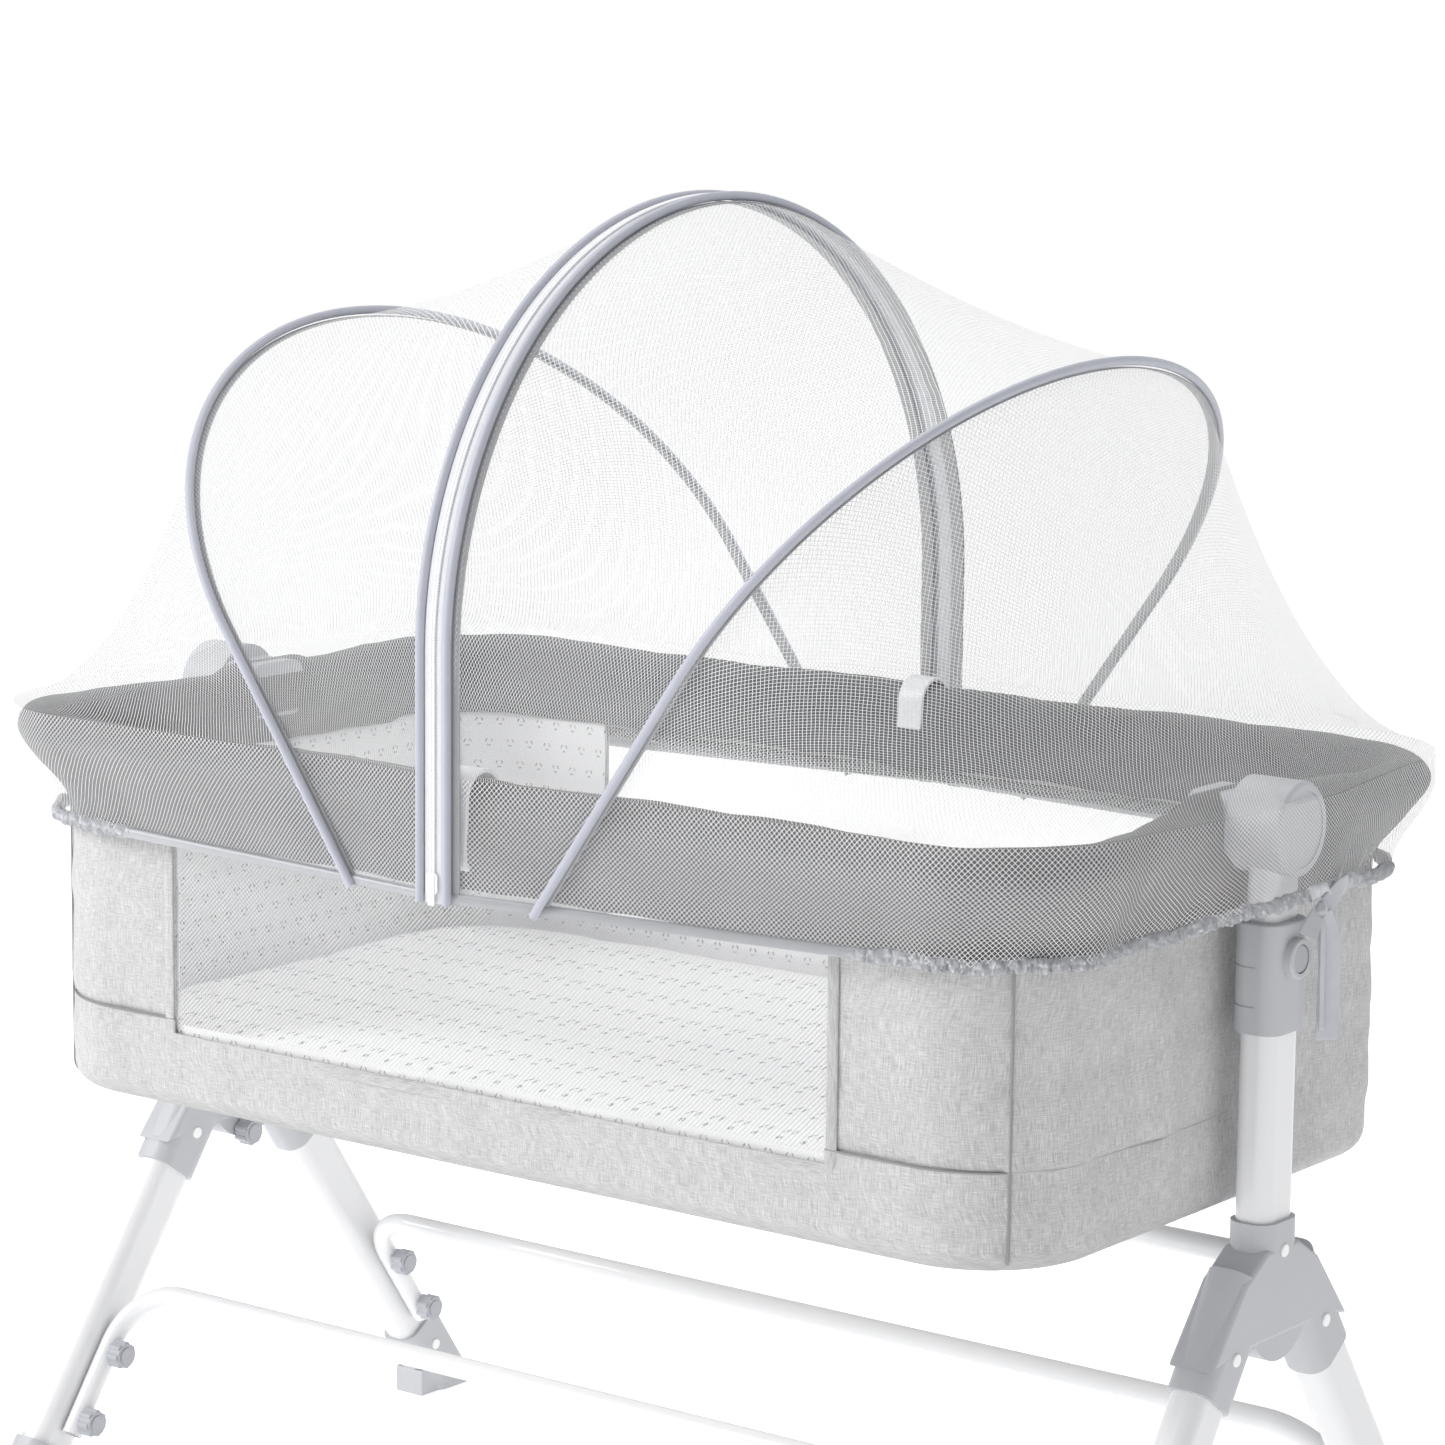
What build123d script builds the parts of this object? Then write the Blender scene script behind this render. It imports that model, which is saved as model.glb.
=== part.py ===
from build123d import *
import math
import os

# Bassinet on a telescopic A-frame stand, in millimetres.
# +X runs along the length, +Y to the far side and +Z up. The origin is on the floor under the middle.

# --- stand: two A-frames, one at each end
post_x = 440.0            # post axis, from the middle
tube_t = 26.0             # flat-oval tube, thickness along X
tube_b = 38.0             # flat-oval tube, breadth
tube_r = 10.0             # rounding of the tube's corners
tube_wall = 1.5
leg_angle = 34.9          # legs lean this far from upright
leg_apex_z = 343.4        # height where the leg axes of one A-frame would meet
leg_top_y = 37.5          # upper end of a leg's axis
leg_end_gap = 6.0         # leg tube stops this far above the floor
foot_wall = 3.0
foot_height = 72.0        # length of the foot cap along the leg
foot_heel = 14.0          # base reaches this much further inwards than the leg
foot_fit = 0.1            # cap to tube, each side
bracket_wall = 3.0
socket_length = 62.0      # leg socket, from the leg's upper end
collar_top_z = 341.0
collar_height = 32.0
post_foot_z = 296.0       # lower end of the post tube
shoulder_y = 45.0
shoulder_z = 309.0
boss_radius = 36.0        # round boss between the leg sockets
boss_z = 287.0
boss_inset = 1.5          # boss face below the bracket's face
web_drop = 20.0           # web reaches this far below the middle of the boss
web_edge_r = 3.0
bracket_fit = 0.1         # bracket to tube, each side
top_rivet_z = 322.2
leg_rivet_drop = 96.5     # leg rivet, along the leg from the apex
foot_rivet_z = 40.0
rivet_r = 2.5
rivet_head_r = 4.2
rivet_head_h = 1.4
rivet_fit = 0.05
blind_length = 8.0        # shank of the blind rivet through the collar and the post tube

# --- crossbars
bar_r = 7.5
bar_wall = 1.2
bar_drop = 50.5           # bar axis above the upper knob, along the leg
bar_bend_r = 45.0
knob_upper_z = 123.0
knob_pitch = 52.6
bar_tail = 12.0           # bar runs on past the lower knob
knob_r = 10.0
knob_h = 11.0
knob_lobes = 7
knob_lobe_r = 2.6
knob_gap = 0.3            # knob to bar
screw_r = 3.0
screw_fit = 0.1
bar_gap = 0.2             # bar end to leg
upper_bar_z = 315.0
bracket_knob_z = 296.0
bracket_knob_y = 8.0
bracket_knob_pitch = 24.0

# --- height adjustment
sleeve_bottom_z = 461.5
sleeve_height = 70.0
sleeve_wall = 3.6
sleeve_lip = 6.0          # top lip over the post tube
groove_rises = (17.0, 42.0)     # ring grooves above the sleeve's lower end
groove_w = 1.2
groove_d = 0.5
slide_fit = 0.3           # inner tube to post tube and lip, each side
post_lap = 60.0           # inner tube still held in the post tube at full height
lift_step = 30.0
lift_steps = 4
button_z = 508.5
button_r = 9.0
button_travel = 3.5
button_rim_r = 13.0
button_rim_h = 5.5
button_fit = 0.25
button_spare = 0.9        # pocket left behind the cap when it is pressed
button_sunk = 0.5         # button below its rim
pocket_floor_t = 1.2
spring_r = 6.0
spring_wire_r = 0.35
spring_turns = 3
spring_gap = 0.05         # spring to the cap and to the pocket floor
pin_r = 4.2
pin_reach = 3.0           # pin tip past the inner tube's wall
slot_fit = 0.5
notch_r = 5.6

# --- hub and pivot
hub_z = 589.5
hub_r = 30.0
hub_outer_x = post_x + 20.4     # outer face of the hub
hub_inner_x = post_x - 18.0     # inner face of the hub
hub_seam = 0.05
tube_seat_z = 576.0       # upper end of the inner tube, in the hub
seat_fit = 0.1
axle_r = 6.0
axle_inner_x = hub_inner_x - 23.0
axle_outer_x = hub_inner_x + 26.0
axle_fit = 0.05

# --- rail and basket
rail_x = post_x - 10.0          # rail axis at the corners
rail_waist_x = hub_inner_x - 16.0       # rail axis where it passes inside the hub
rail_y = 250.0
rail_z = 591.0
rail_r = 10.0
rail_wall = 1.5
rail_corner_r = 80.0
pivot_block_y = 34.0      # half length of the pivot block
pivot_block_t = 28.0
pivot_block_h = 40.0
pivot_gap = 0.4           # pivot block to hub
spigot_r = rail_r - rail_wall - 0.1
spigot_length = 16.0
spigot_seat = 6.0         # rail tube starts this far inside the block's half length
pivot_block_r = 12.0
rail_bend_r = 18.0        # bends of the rail beside the hub
cover_half = rail_r + 4.0       # rail cover, half width
cover_t = 2.0
cover_top_z = 606.0
cover_swell_z = 587.0     # the outer side leaves the rail here
cover_tuck_z = 545.0      # the outer side reaches the wall here
cover_outer_z = 532.0
cover_inner_z = 561.0
cover_wall_gap = 0.6      # cover to basket wall
cover_split = 2.0         # cover to pivot block, each end
waist_ease = 12.0         # straight stretch of the rail beside the pivot block
swell_share = 0.55        # share of the half width where the rail reaches its full length
basket_x = rail_x - 18.0
basket_y = rail_y - 16.0
basket_corner_r = 80.0
basket_bottom_z = 341.0
basket_top_z = 559.0
basket_wall = 3.0
basket_edge_r = 14.0
band_z = 404.0            # top of the lower band
band_step = 1.2
window_x = 271.0
window_low_z = 394.5
window_top_z = 546.0
mesh_t = 1.0
board_t = 5.0
board_gap = 0.1           # board to bag floor, and mattress to board
mattress_t = 41.0
mattress_edge_r = 12.0
mattress_gap = 2.0        # mattress to liner
liner_t = 1.2
liner_gap = 0.1
liner_low_z = 400.0

# --- mosquito net
hoop_y = rail_y + 25.0          # half width of each side hoop
centre_y = rail_y + 32.0        # half width of the centre hoops
hoop_r = 3.0
hoop_foot_z = 527.0
hoop_spring_z = 684.0     # the upright sides end and the arch begins
centre_apex_z = 960.0
centre_hoop_x = 11.0
side_foot_x = 75.0        # side hoop at its foot
side_apex_x = 313.0
side_apex_z = 868.0
net_t = 1.5
net_gap = 0.4             # net to hoop
net_clear = 1.6           # net above and outside the rail cover
net_hub_gap = 3.6         # net outside the hub's face
net_hub_y = 32.0          # half length of the net's flat part over the hub
net_corner_ease = 12.0    # straight stretch of the net before its corner
hem_out = 9.5             # hem outside the basket wall at the corners
hem_corner_r = 88.0
hem_side_y = hoop_y - 5.5       # hem at the side hoops
hem_z = 531.0             # middle of the hem, round the corners and along the sides
hem_hub_z = 549.0         # middle of the hem, under the hub
hem_t = 3.6
hem_lip = 0.6             # hem stands proud of the net
hem_h = 7.0
hem_gap = 0.5
saddle_x = rail_x - 58.0        # the net dips between the side hoop and the end of the rail
saddle_apex_z = 742.0
saddle_y = hoop_y - 13.0
saddle_lean = 20.0
end_net_x = rail_x              # low arch of the net near the end of the rail
end_net_y = rail_y - 28.0
end_net_apex_z = 650.0
last_net_y = 45.0         # lowest arch of the net, over the hub
last_net_apex_z = 622.0
zip_t = 1.2
zip_gap = 0.5
slider_w = 9.0
slider_h = 14.0
slider_t = 1.6
slider_gap = 0.3          # slider to zip
tab_w = 5.0
tab_h = 20.0
tab_t = 1.4
tab_drop = 4.0            # middle of the pull tab below the slider's
slider_z = 540.0
clip_x = 4.5
clip_w = 22.0
clip_t = 2.5
clip_gap = 0.4            # clip to rail cover
clip_tail_z = 546.0
clip_tail_taper = 20.0
clip_inner_z = 574.0
ribbon_w = 11.0
ribbon_t = 1.0
ribbon_y = 12.0
ribbon_length = 72.0
knot_r = 7.0
knot_t = 4.0

leg_dir = Vector(0, math.sin(math.radians(leg_angle)), -math.cos(math.radians(leg_angle)))
leg_tan = math.tan(math.radians(leg_angle))
lift_travel = lift_step * lift_steps
sleeve_top_z = sleeve_bottom_z + sleeve_height
post_top_z = sleeve_top_z - sleeve_lip
rim_x = rail_x + cover_half     # outer edge of the rail cover
rim_y = rail_y + cover_half
rim_corner_r = rail_corner_r + cover_half
net_hub_x = hub_outer_x + net_hub_gap
net_rim_z = cover_top_z + net_clear
skirt_low_z = hem_z + hem_h / 2 + hem_gap
button_t = sleeve_wall + button_rim_h - button_sunk - pocket_floor_t - button_travel - button_spare
inner_t = tube_t - 2 * (tube_wall + slide_fit)
inner_b = tube_b - 2 * (tube_wall + slide_fit)
inner_r = tube_r - tube_wall - slide_fit
inner_foot_z = post_top_z - lift_travel - post_lap
sleeve_t = tube_t + 2 * sleeve_wall
sleeve_b = tube_b + 2 * sleeve_wall
sleeve_r = tube_r + 2.0
bracket_t = tube_t + 2 * (bracket_wall + bracket_fit)
bracket_b = tube_b + 2 * (bracket_wall + bracket_fit)
bracket_r = tube_r + bracket_wall
bar_x = post_x - tube_t / 2 - bar_gap - bar_r


def oval(thickness, breadth, radius):
    """Flat-oval section: thickness along X, breadth along Y."""
    return RectangleRounded(thickness, breadth, radius)


def tube(thickness, breadth, radius, wall, low, high):
    """Upright flat-oval tube between two heights."""
    ring = oval(thickness, breadth, radius) - oval(thickness - 2 * wall, breadth - 2 * wall, radius - wall)
    return Pos(0, 0, low) * extrude(ring, high - low)


def bar(thickness, breadth, radius, low, high):
    """Upright flat-oval solid between two heights."""
    return Pos(0, 0, low) * extrude(oval(thickness, breadth, radius), high - low)


def leg_point(distance):
    """Point on the far leg's axis, at a distance along it from the apex."""
    return Vector(0, 0, leg_apex_z) + leg_dir * distance


def along_leg(shape):
    """Place a shape drawn downwards from the origin along the far leg's axis."""
    return Pos(0, 0, leg_apex_z) * Rot(leg_angle, 0, 0) * shape


def four(shape):
    """A shape of the right far corner, and its three mirror images."""
    right = [shape, mirror(shape, Plane.XZ)]
    return right + [mirror(s, Plane.YZ) for s in right]


def both_ends(shape):
    """A shape of the right end and its mirror image at the left end."""
    return {"right": shape, "left": mirror(shape, Plane.YZ)}


def leg_distance(height):
    """Distance along the leg from the apex to a height."""
    return (leg_apex_z - height) / math.cos(math.radians(leg_angle))


def below(height):
    """Block of everything near a leg that lies under a height."""
    size = 2 * leg_apex_z
    return Pos(0, 0, height - size) * Box(2 * size, 4 * size, 2 * size)


def rod(radius, start, end):
    """Round bar along X between two places."""
    return Pos(start, 0, 0) * extrude(Plane.YZ * Circle(radius), end - start)


def rivet(y, z, half, blind=False):
    """Rivet along X with a domed head on each face, or a blind one with its head outside only."""
    head = Cylinder(rivet_head_r, rivet_head_h, align=(Align.CENTER, Align.CENTER, Align.MIN))
    head = fillet(head.edges().group_by(Axis.Z)[-1], rivet_head_h * 0.6)
    right = Pos(half, 0, 0) * Rot(0, 90, 0) * head
    if blind:
        return Pos(post_x, y, z) * (rod(rivet_r, half - blind_length, half) + right)
    return Pos(post_x, y, z) * (rod(rivet_r, -half, half) + right + mirror(right, Plane.YZ))


def rivet_hole(y, z, low, high):
    return Pos(post_x, y, z) * rod(rivet_r + rivet_fit, low, high)


# ---------------------------------------------------------------- stand

def leg():
    """Far leg of the right A-frame."""
    top = leg_top_y / math.sin(math.radians(leg_angle))
    low = leg_distance(0) + tube_b
    body = along_leg(tube(tube_t, tube_b, tube_r, tube_wall, -low, -top))
    body = Pos(post_x, 0, 0) * (body - below(leg_end_gap))
    spot = leg_point(leg_rivet_drop)
    body -= rivet_hole(spot.Y, spot.Z, -bracket_t, bracket_t)
    body -= rivet_hole(leg_y(foot_rivet_z), foot_rivet_z, -bracket_t, bracket_t)
    for drop in (0, knob_pitch):
        p = leg_point(leg_distance(knob_upper_z) + drop)
        body -= Pos(post_x, p.Y, p.Z) * rod(screw_r + screw_fit, -tube_t, 0)
    return body


def leg_y(height):
    """Distance of the leg's axis from the middle plane at a height."""
    return (leg_apex_z - height) * leg_tan


def foot():
    """Cap on the far right leg's end, with a flat base on the floor."""
    outer_t = tube_t + 2 * (foot_wall + foot_fit)
    outer_b = tube_b + 2 * (foot_wall + foot_fit)
    low = leg_distance(0) + tube_b
    top = leg_distance(0) - foot_height
    cap = along_leg(bar(outer_t, outer_b, tube_r + foot_wall, -low, -top))
    inner_y = leg_y(0) - outer_b / 2 / math.cos(math.radians(leg_angle))
    heel_h = foot_heel / leg_tan
    heel = Plane.YZ * make_face(Polyline(
        (inner_y - foot_heel, 0), (leg_y(0), 0), (leg_y(heel_h), heel_h), (inner_y - foot_heel, heel_h),
        close=True))
    heel = extrude(heel, outer_t / 2 - foot_wall, both=True)
    cap += heel
    bore = along_leg(bar(tube_t + 2 * foot_fit, tube_b + 2 * foot_fit, tube_r + foot_fit, -low, 0))
    cap -= bore - below(leg_end_gap - foot_fit)
    cap -= below(0)
    cap = Pos(post_x, 0, 0) * cap
    return cap - rivet_hole(leg_y(foot_rivet_z), foot_rivet_z, -outer_t, outer_t)


def bracket():
    """Moulded joint of the right A-frame: a collar for the post and a socket for each leg."""
    collar = bar(bracket_t, bracket_b, bracket_r, collar_top_z - collar_height, collar_top_z)
    start = leg_top_y / math.sin(math.radians(leg_angle))
    socket = along_leg(bar(bracket_t, bracket_b, bracket_r, -start - socket_length, -start + tube_b / 2))
    sockets = socket + mirror(socket, Plane.XZ)
    inner = leg_point(start + socket_length)
    half = bracket_b / 2 * math.cos(math.radians(leg_angle))
    outline = [
        (bracket_b / 2 - bracket_r / 4, collar_top_z - collar_height / 2), (shoulder_y, shoulder_z),
        (inner.Y + half * 0.6, inner.Z + half * 1.3), (inner.Y - half, boss_z - web_drop)]
    web = Plane.YZ * make_face(Polyline(*outline, *[(-y, z) for y, z in reversed(outline)], close=True))
    web = extrude(web, bracket_t / 2, both=True)
    web = fillet(web.edges().filter_by(Axis.X, reverse=True), web_edge_r)
    boss = Pos(0, 0, boss_z) * rod(boss_radius, -bracket_t / 2 + boss_inset, bracket_t / 2 - boss_inset)
    body = collar + sockets + web + boss
    wide = tube_t + 2 * bracket_fit
    deep = tube_b + 2 * bracket_fit
    body -= bar(wide, deep, tube_r, post_foot_z - bracket_fit, collar_top_z + 1)
    bore = along_leg(bar(wide, deep, tube_r, -start - socket_length - 1, -start + bracket_fit))
    body -= bore + mirror(bore, Plane.XZ)
    body = Pos(post_x, 0, 0) * body
    seat_x = post_x - bracket_t / 2
    body -= Pos(0, 0, upper_bar_z) * rod(bar_r + bracket_fit, seat_x - 1, seat_x + bracket_wall - 0.5)
    spot = leg_point(leg_rivet_drop)
    for side in (1, -1):
        body -= rivet_hole(side * spot.Y, spot.Z, -bracket_t, bracket_t)
    body -= rivet_hole(0, top_rivet_z, 0, bracket_t)
    for y, z in bracket_knob_places():
        body -= Pos(seat_x, y, z) * rod(screw_r + screw_fit, -1, bracket_wall - 0.5)
    return body


def bracket_knob_places():
    """The two knob screws on the inner face of a bracket, in line with the near leg."""
    step = leg_dir * bracket_knob_pitch
    return [(bracket_knob_y, bracket_knob_z - 20), (bracket_knob_y - step.Y, bracket_knob_z - 20 + step.Z)]


def post_tube():
    """Fixed outer tube of the right post."""
    body = Pos(post_x, 0, 0) * tube(tube_t, tube_b, tube_r, tube_wall, post_foot_z, post_top_z)
    body -= rivet_hole(0, top_rivet_z, 0, bracket_t)
    return body - Pos(post_x, 0, button_z) * rod(pin_r + slot_fit, 0, tube_t)


def sleeve():
    """Height-lock sleeve on the top of the right post tube, with the rim of its button."""
    body = bar(sleeve_t, sleeve_b, sleeve_r, sleeve_bottom_z, sleeve_top_z)
    body = fillet(body.edges().group_by(Axis.Z)[-1], 1.5)
    grooves = bar(sleeve_t + 2, sleeve_b + 2, sleeve_r + 1, 0, groove_w)
    grooves -= bar(sleeve_t - 2 * groove_d, sleeve_b - 2 * groove_d, sleeve_r, -1, 2 * groove_w)
    rim = Pos(0, 0, button_z) * rod(button_rim_r, 0, sleeve_t / 2 + button_rim_h)
    rim = fillet(rim.edges().group_by(Axis.X)[-1], 1.5)
    body += rim
    for rise in groove_rises:
        button_side = Pos(button_rim_r + 6, 0, 0) * Box(sleeve_t, 1.2 * sleeve_b, sleeve_t)
        body -= Pos(0, 0, sleeve_bottom_z + rise) * (grooves - button_side)
    body -= bar(tube_t, tube_b, tube_r, sleeve_bottom_z - 1, post_top_z)
    body -= bar(inner_t + 2 * slide_fit, inner_b + 2 * slide_fit, inner_r + slide_fit, 0, sleeve_top_z + 1)
    body -= Pos(0, 0, button_z) * rod(button_r + button_fit, button_floor(), sleeve_t)
    body -= Pos(0, 0, button_z) * rod(pin_r + slot_fit, 0, sleeve_t)
    return Pos(post_x, 0, 0) * body


def button():
    """Push button of the right sleeve with its lock pin in one piece."""
    face = button_face()
    cap = rod(button_r, face - button_t, face)
    cap = fillet(cap.edges().group_by(Axis.X)[-1], 1.2)
    tip = inner_t / 2 - tube_wall - pin_reach
    return Pos(post_x, 0, button_z) * (cap + rod(pin_r, tip, face - button_t / 2))


def button_face():
    """Outer face of the button, from the post axis."""
    return sleeve_t / 2 + button_rim_h - button_sunk


def button_spring():
    """Coil spring of the right button, round its pin, from the sleeve to the back of the cap."""
    low = button_floor() + spring_wire_r + spring_gap
    high = button_face() - button_t - spring_wire_r - spring_gap
    coil = Helix(pitch=(high - low) / spring_turns, height=high - low, radius=spring_r)
    wire = sweep(Plane(origin=coil @ 0, z_dir=coil % 0) * Circle(spring_wire_r), path=coil)
    return Pos(post_x, 0, button_z) * Rot(0, 90, 0) * Pos(0, 0, low) * wire


def button_floor():
    """Bottom of the button's pocket, from the post axis."""
    return tube_t / 2 + pocket_floor_t


def crossbar():
    """Far lower crossbar: a round tube whose ends bend down along the legs."""
    start = leg_distance(knob_upper_z) - bar_drop
    end = leg_distance(knob_upper_z) + knob_pitch + bar_tail
    top = leg_point(start)
    low = leg_point(end)
    route = [(-bar_x, low.Y, low.Z), (-bar_x, top.Y, top.Z), (bar_x, top.Y, top.Z), (bar_x, low.Y, low.Z)]
    path = FilletPolyline(*route, radius=bar_bend_r)
    ring = Circle(bar_r) - Circle(bar_r - bar_wall)
    body = sweep(Plane(origin=path @ 0, z_dir=path % 0) * ring, path=path)
    for side in (1, -1):
        for drop in (0, knob_pitch):
            p = leg_point(leg_distance(knob_upper_z) + drop)
            hole = rod(screw_r + screw_fit, -bar_r - 1, bar_r + 1)
            body -= Pos(side * bar_x, p.Y, p.Z) * hole
    return body


def upper_crossbar():
    """Straight tube between the two brackets."""
    reach = post_x - bracket_t / 2 + bracket_wall - 0.6
    ring = Circle(bar_r) - Circle(bar_r - bar_wall)
    return Pos(-reach, 0, upper_bar_z) * extrude(Plane.YZ * ring, 2 * reach)


def knob_screw(shank):
    """Lobed hand knob with its screw along +X, its seat face at the origin."""
    head = rod(knob_r - knob_lobe_r / 2, -knob_h, 0)
    for i in range(knob_lobes):
        turn = 2 * math.pi * i / knob_lobes
        away = knob_r - knob_lobe_r
        head += Pos(0, away * math.cos(turn), away * math.sin(turn)) * rod(knob_lobe_r, -knob_h + 1, 0)
    button = rod(knob_r - 4, -knob_h - 1, -knob_h)
    return head + button + rod(screw_r, 0, shank)


def bar_knobs():
    """The eight knob screws that hold the lower crossbars to the legs."""
    screws = []
    for drop in (0, knob_pitch):
        p = leg_point(leg_distance(knob_upper_z) + drop)
        one = Pos(bar_x - bar_r - knob_gap, p.Y, p.Z) * knob_screw(2 * bar_r + bar_gap + tube_t / 2)
        screws += four(one)
    return screws


def bracket_knobs():
    """The four knob screws on the inner faces of the brackets."""
    screws = []
    for y, z in bracket_knob_places():
        one = Pos(post_x - bracket_t / 2, y, z) * knob_screw(bracket_wall - 0.6)
        screws += [one, mirror(one, Plane.YZ)]
    return screws


def bracket_rivets():
    spot = leg_point(leg_rivet_drop)
    half = bracket_t / 2
    right = [rivet(0, top_rivet_z, half, blind=True)]
    right += [rivet(side * spot.Y, spot.Z, half) for side in (1, -1)]
    return right + [mirror(r, Plane.YZ) for r in right]


def foot_rivets():
    half = tube_t / 2 + foot_wall + foot_fit
    return four(rivet(leg_y(foot_rivet_z), foot_rivet_z, half))


# ---------------------------------------------------------------- lifting posts

def inner_tube():
    """Sliding tube of the right post, with a notched slot for the lock pin."""
    body = Pos(post_x, 0, 0) * tube(inner_t, inner_b, inner_r, tube_wall, inner_foot_z, tube_seat_z)
    for i in range(lift_steps + 1):
        body -= Pos(post_x, 0, button_z - i * lift_step) * rod(notch_r, 0, tube_t)
    slot = Box(tube_t, 2 * (pin_r + slot_fit), lift_travel)
    return body - Pos(post_x + tube_t / 2, 0, button_z - lift_travel / 2) * slot


def hub_half(start, end):
    """One half of the right hub casing, seated on the inner tube's end and on the axle."""
    body = Pos(0, 0, hub_z) * rod(hub_r, start, end)
    seat = bar(inner_t + 2 * seat_fit, inner_b + 2 * seat_fit, inner_r, 0, tube_seat_z + seat_fit)
    body -= Pos(post_x, 0, 0) * seat
    return body - Pos(0, 0, hub_z) * rod(axle_r, 0, axle_outer_x)


def hub_cover():
    """Outer half of the hub casing, with a dished round face."""
    body = hub_half(post_x + hub_seam, hub_outer_x)
    body = fillet(body.edges().group_by(Axis.X)[-1], 3.0)
    dish = Pos(0, 0, hub_z) * rod(hub_r - 6, hub_outer_x - 0.8, hub_outer_x + 1)
    return body - dish


def hub_back():
    """Inner half of the hub casing."""
    return hub_half(hub_inner_x, post_x)


def axle():
    return Pos(0, 0, hub_z) * rod(axle_r, axle_inner_x, axle_outer_x)


# ---------------------------------------------------------------- basket frame

def rim_route(x_corner, x_waist, y_side):
    """Points of the rail's plan from the near end of the right hub to the far one, the long way round."""
    y_in = pivot_block_y + waist_ease
    y_out = rail_y * swell_share
    y_start = pivot_block_y - spigot_seat
    right = [(x_waist, -y_start), (x_waist, -y_in), (x_corner, -y_out), (x_corner, -y_side)]
    left = [(-x, y) for x, y in reversed(right)]
    return right + left


def rail():
    """Near half of the rail: a tube from hub to hub."""
    route = rim_route(rail_x, rail_waist_x, rail_y)
    corner = [rail_bend_r, rail_bend_r, rail_corner_r, rail_corner_r, rail_bend_r, rail_bend_r]
    path = FilletPolyline(*[(x, y, rail_z) for x, y in route], radius=corner)
    ring = Circle(rail_r) - Circle(rail_r - rail_wall)
    return sweep(Plane(origin=path @ 0, z_dir=path % 0) * ring, path=path)


def pivot_block():
    """Right end of the rail: it turns on the axle and holds both rail tubes on spigots."""
    low = rail_waist_x - pivot_block_t / 2
    high = hub_inner_x - pivot_gap
    tube_end = pivot_block_y - spigot_seat
    body = Pos((low + high) / 2, 0, hub_z) * Box(high - low, 2 * tube_end - 1, pivot_block_h)
    body = fillet(body.edges().filter_by(Axis.X), pivot_block_r)
    spigot = Cylinder(spigot_r, spigot_length + 4)
    for side in (1, -1):
        body += Pos(rail_waist_x, side * (tube_end + spigot_length / 2 - 2), rail_z) * Rot(90, 0, 0) * spigot
    return body - Pos(0, 0, hub_z) * rod(axle_r + axle_fit, axle_inner_x - 1, hub_outer_x)


def rim_plan(corner_x, waist_x, y_side, radius):
    """Closed plan round the rail, narrower at the hubs and rounded at the corners."""
    waist_y = pivot_block_y + waist_ease
    corners = [(waist_x, -waist_y), (corner_x, -rail_y * swell_share), (corner_x, -y_side)]
    near = corners + [(-x, y) for x, y in reversed(corners)]
    points = near + [(x, -y) for x, y in reversed(near)]
    outline = make_face(Polyline(*points, close=True))
    sharp = [v for v in outline.vertices() if abs(v.Y) > y_side - 1]
    return fillet(sharp, radius)


def rim_offset(grow):
    """Plan round the rail, moved outwards from its axis by an amount."""
    return rim_plan(rail_x + grow, rail_waist_x + grow, rail_y + grow, rail_corner_r + grow)


def cover_drape(inset):
    """Solid under the cover's outer side: upright over the rail, then in to the basket wall."""
    wall = cover_wall_gap + cover_t - inset
    low = rim_plan(basket_x + wall, basket_x + wall, basket_y + wall, basket_corner_r + wall)
    tuck = rim_plan(basket_x + wall + 1, basket_x + wall + 1, basket_y + wall + 1, basket_corner_r + wall)
    top = rim_offset(cover_half - inset)
    levels = [(cover_outer_z, low), (cover_tuck_z, tuck), (cover_swell_z, top), (cover_top_z, top)]
    return loft([Pos(0, 0, z) * plan for z, plan in levels], ruled=True)


def rail_cover():
    """Padded sleeve over the rail: a channel open below, with a longer outer side drawn in to the wall."""
    body = cover_drape(0) - cover_drape(cover_t)
    ring = rim_offset(cover_t - cover_half) - rim_offset(-cover_half)
    body += Pos(0, 0, cover_inner_z) * extrude(ring, cover_top_z - cover_inner_z)
    lid = rim_offset(cover_half) - rim_offset(-cover_half)
    body += Pos(0, 0, cover_top_z - cover_t) * extrude(lid, cover_t)
    gap = pivot_block_y + cover_split
    for side in (1, -1):
        body -= Pos(side * rail_waist_x, 0, hub_z) * Box(4 * cover_half + 8, 2 * gap, 4 * hub_r)
    return body


# ---------------------------------------------------------------- basket fabric

def basket_plan(grow):
    """Rounded rectangle of the basket, moved outwards by an amount."""
    return RectangleRounded(2 * (basket_x + grow), 2 * (basket_y + grow), basket_corner_r + grow)


def window_cut(low, high, half):
    """Block through both long sides where the mesh windows are."""
    return Pos(0, 0, (low + high) / 2) * Box(2 * half, 4 * basket_y, high - low)


def basket_shell():
    """Fabric bag: floor, walls and lower band, open at the top and at both windows."""
    height = basket_top_z - basket_bottom_z
    outer = Pos(0, 0, basket_bottom_z) * extrude(basket_plan(0), height)
    band = Pos(0, 0, basket_bottom_z) * extrude(basket_plan(band_step), band_z - basket_bottom_z)
    band = fillet(band.edges().group_by(Axis.Z)[0], basket_edge_r)
    outer = outer - Pos(0, 0, basket_bottom_z) * extrude(basket_plan(1), band_z - basket_bottom_z) + band
    inner = Pos(0, 0, basket_bottom_z + basket_wall) * extrude(basket_plan(-basket_wall), height)
    inner = fillet(inner.edges().group_by(Axis.Z)[0], basket_edge_r - basket_wall)
    return outer - inner - window_cut(window_low_z, window_top_z, window_x)


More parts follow.
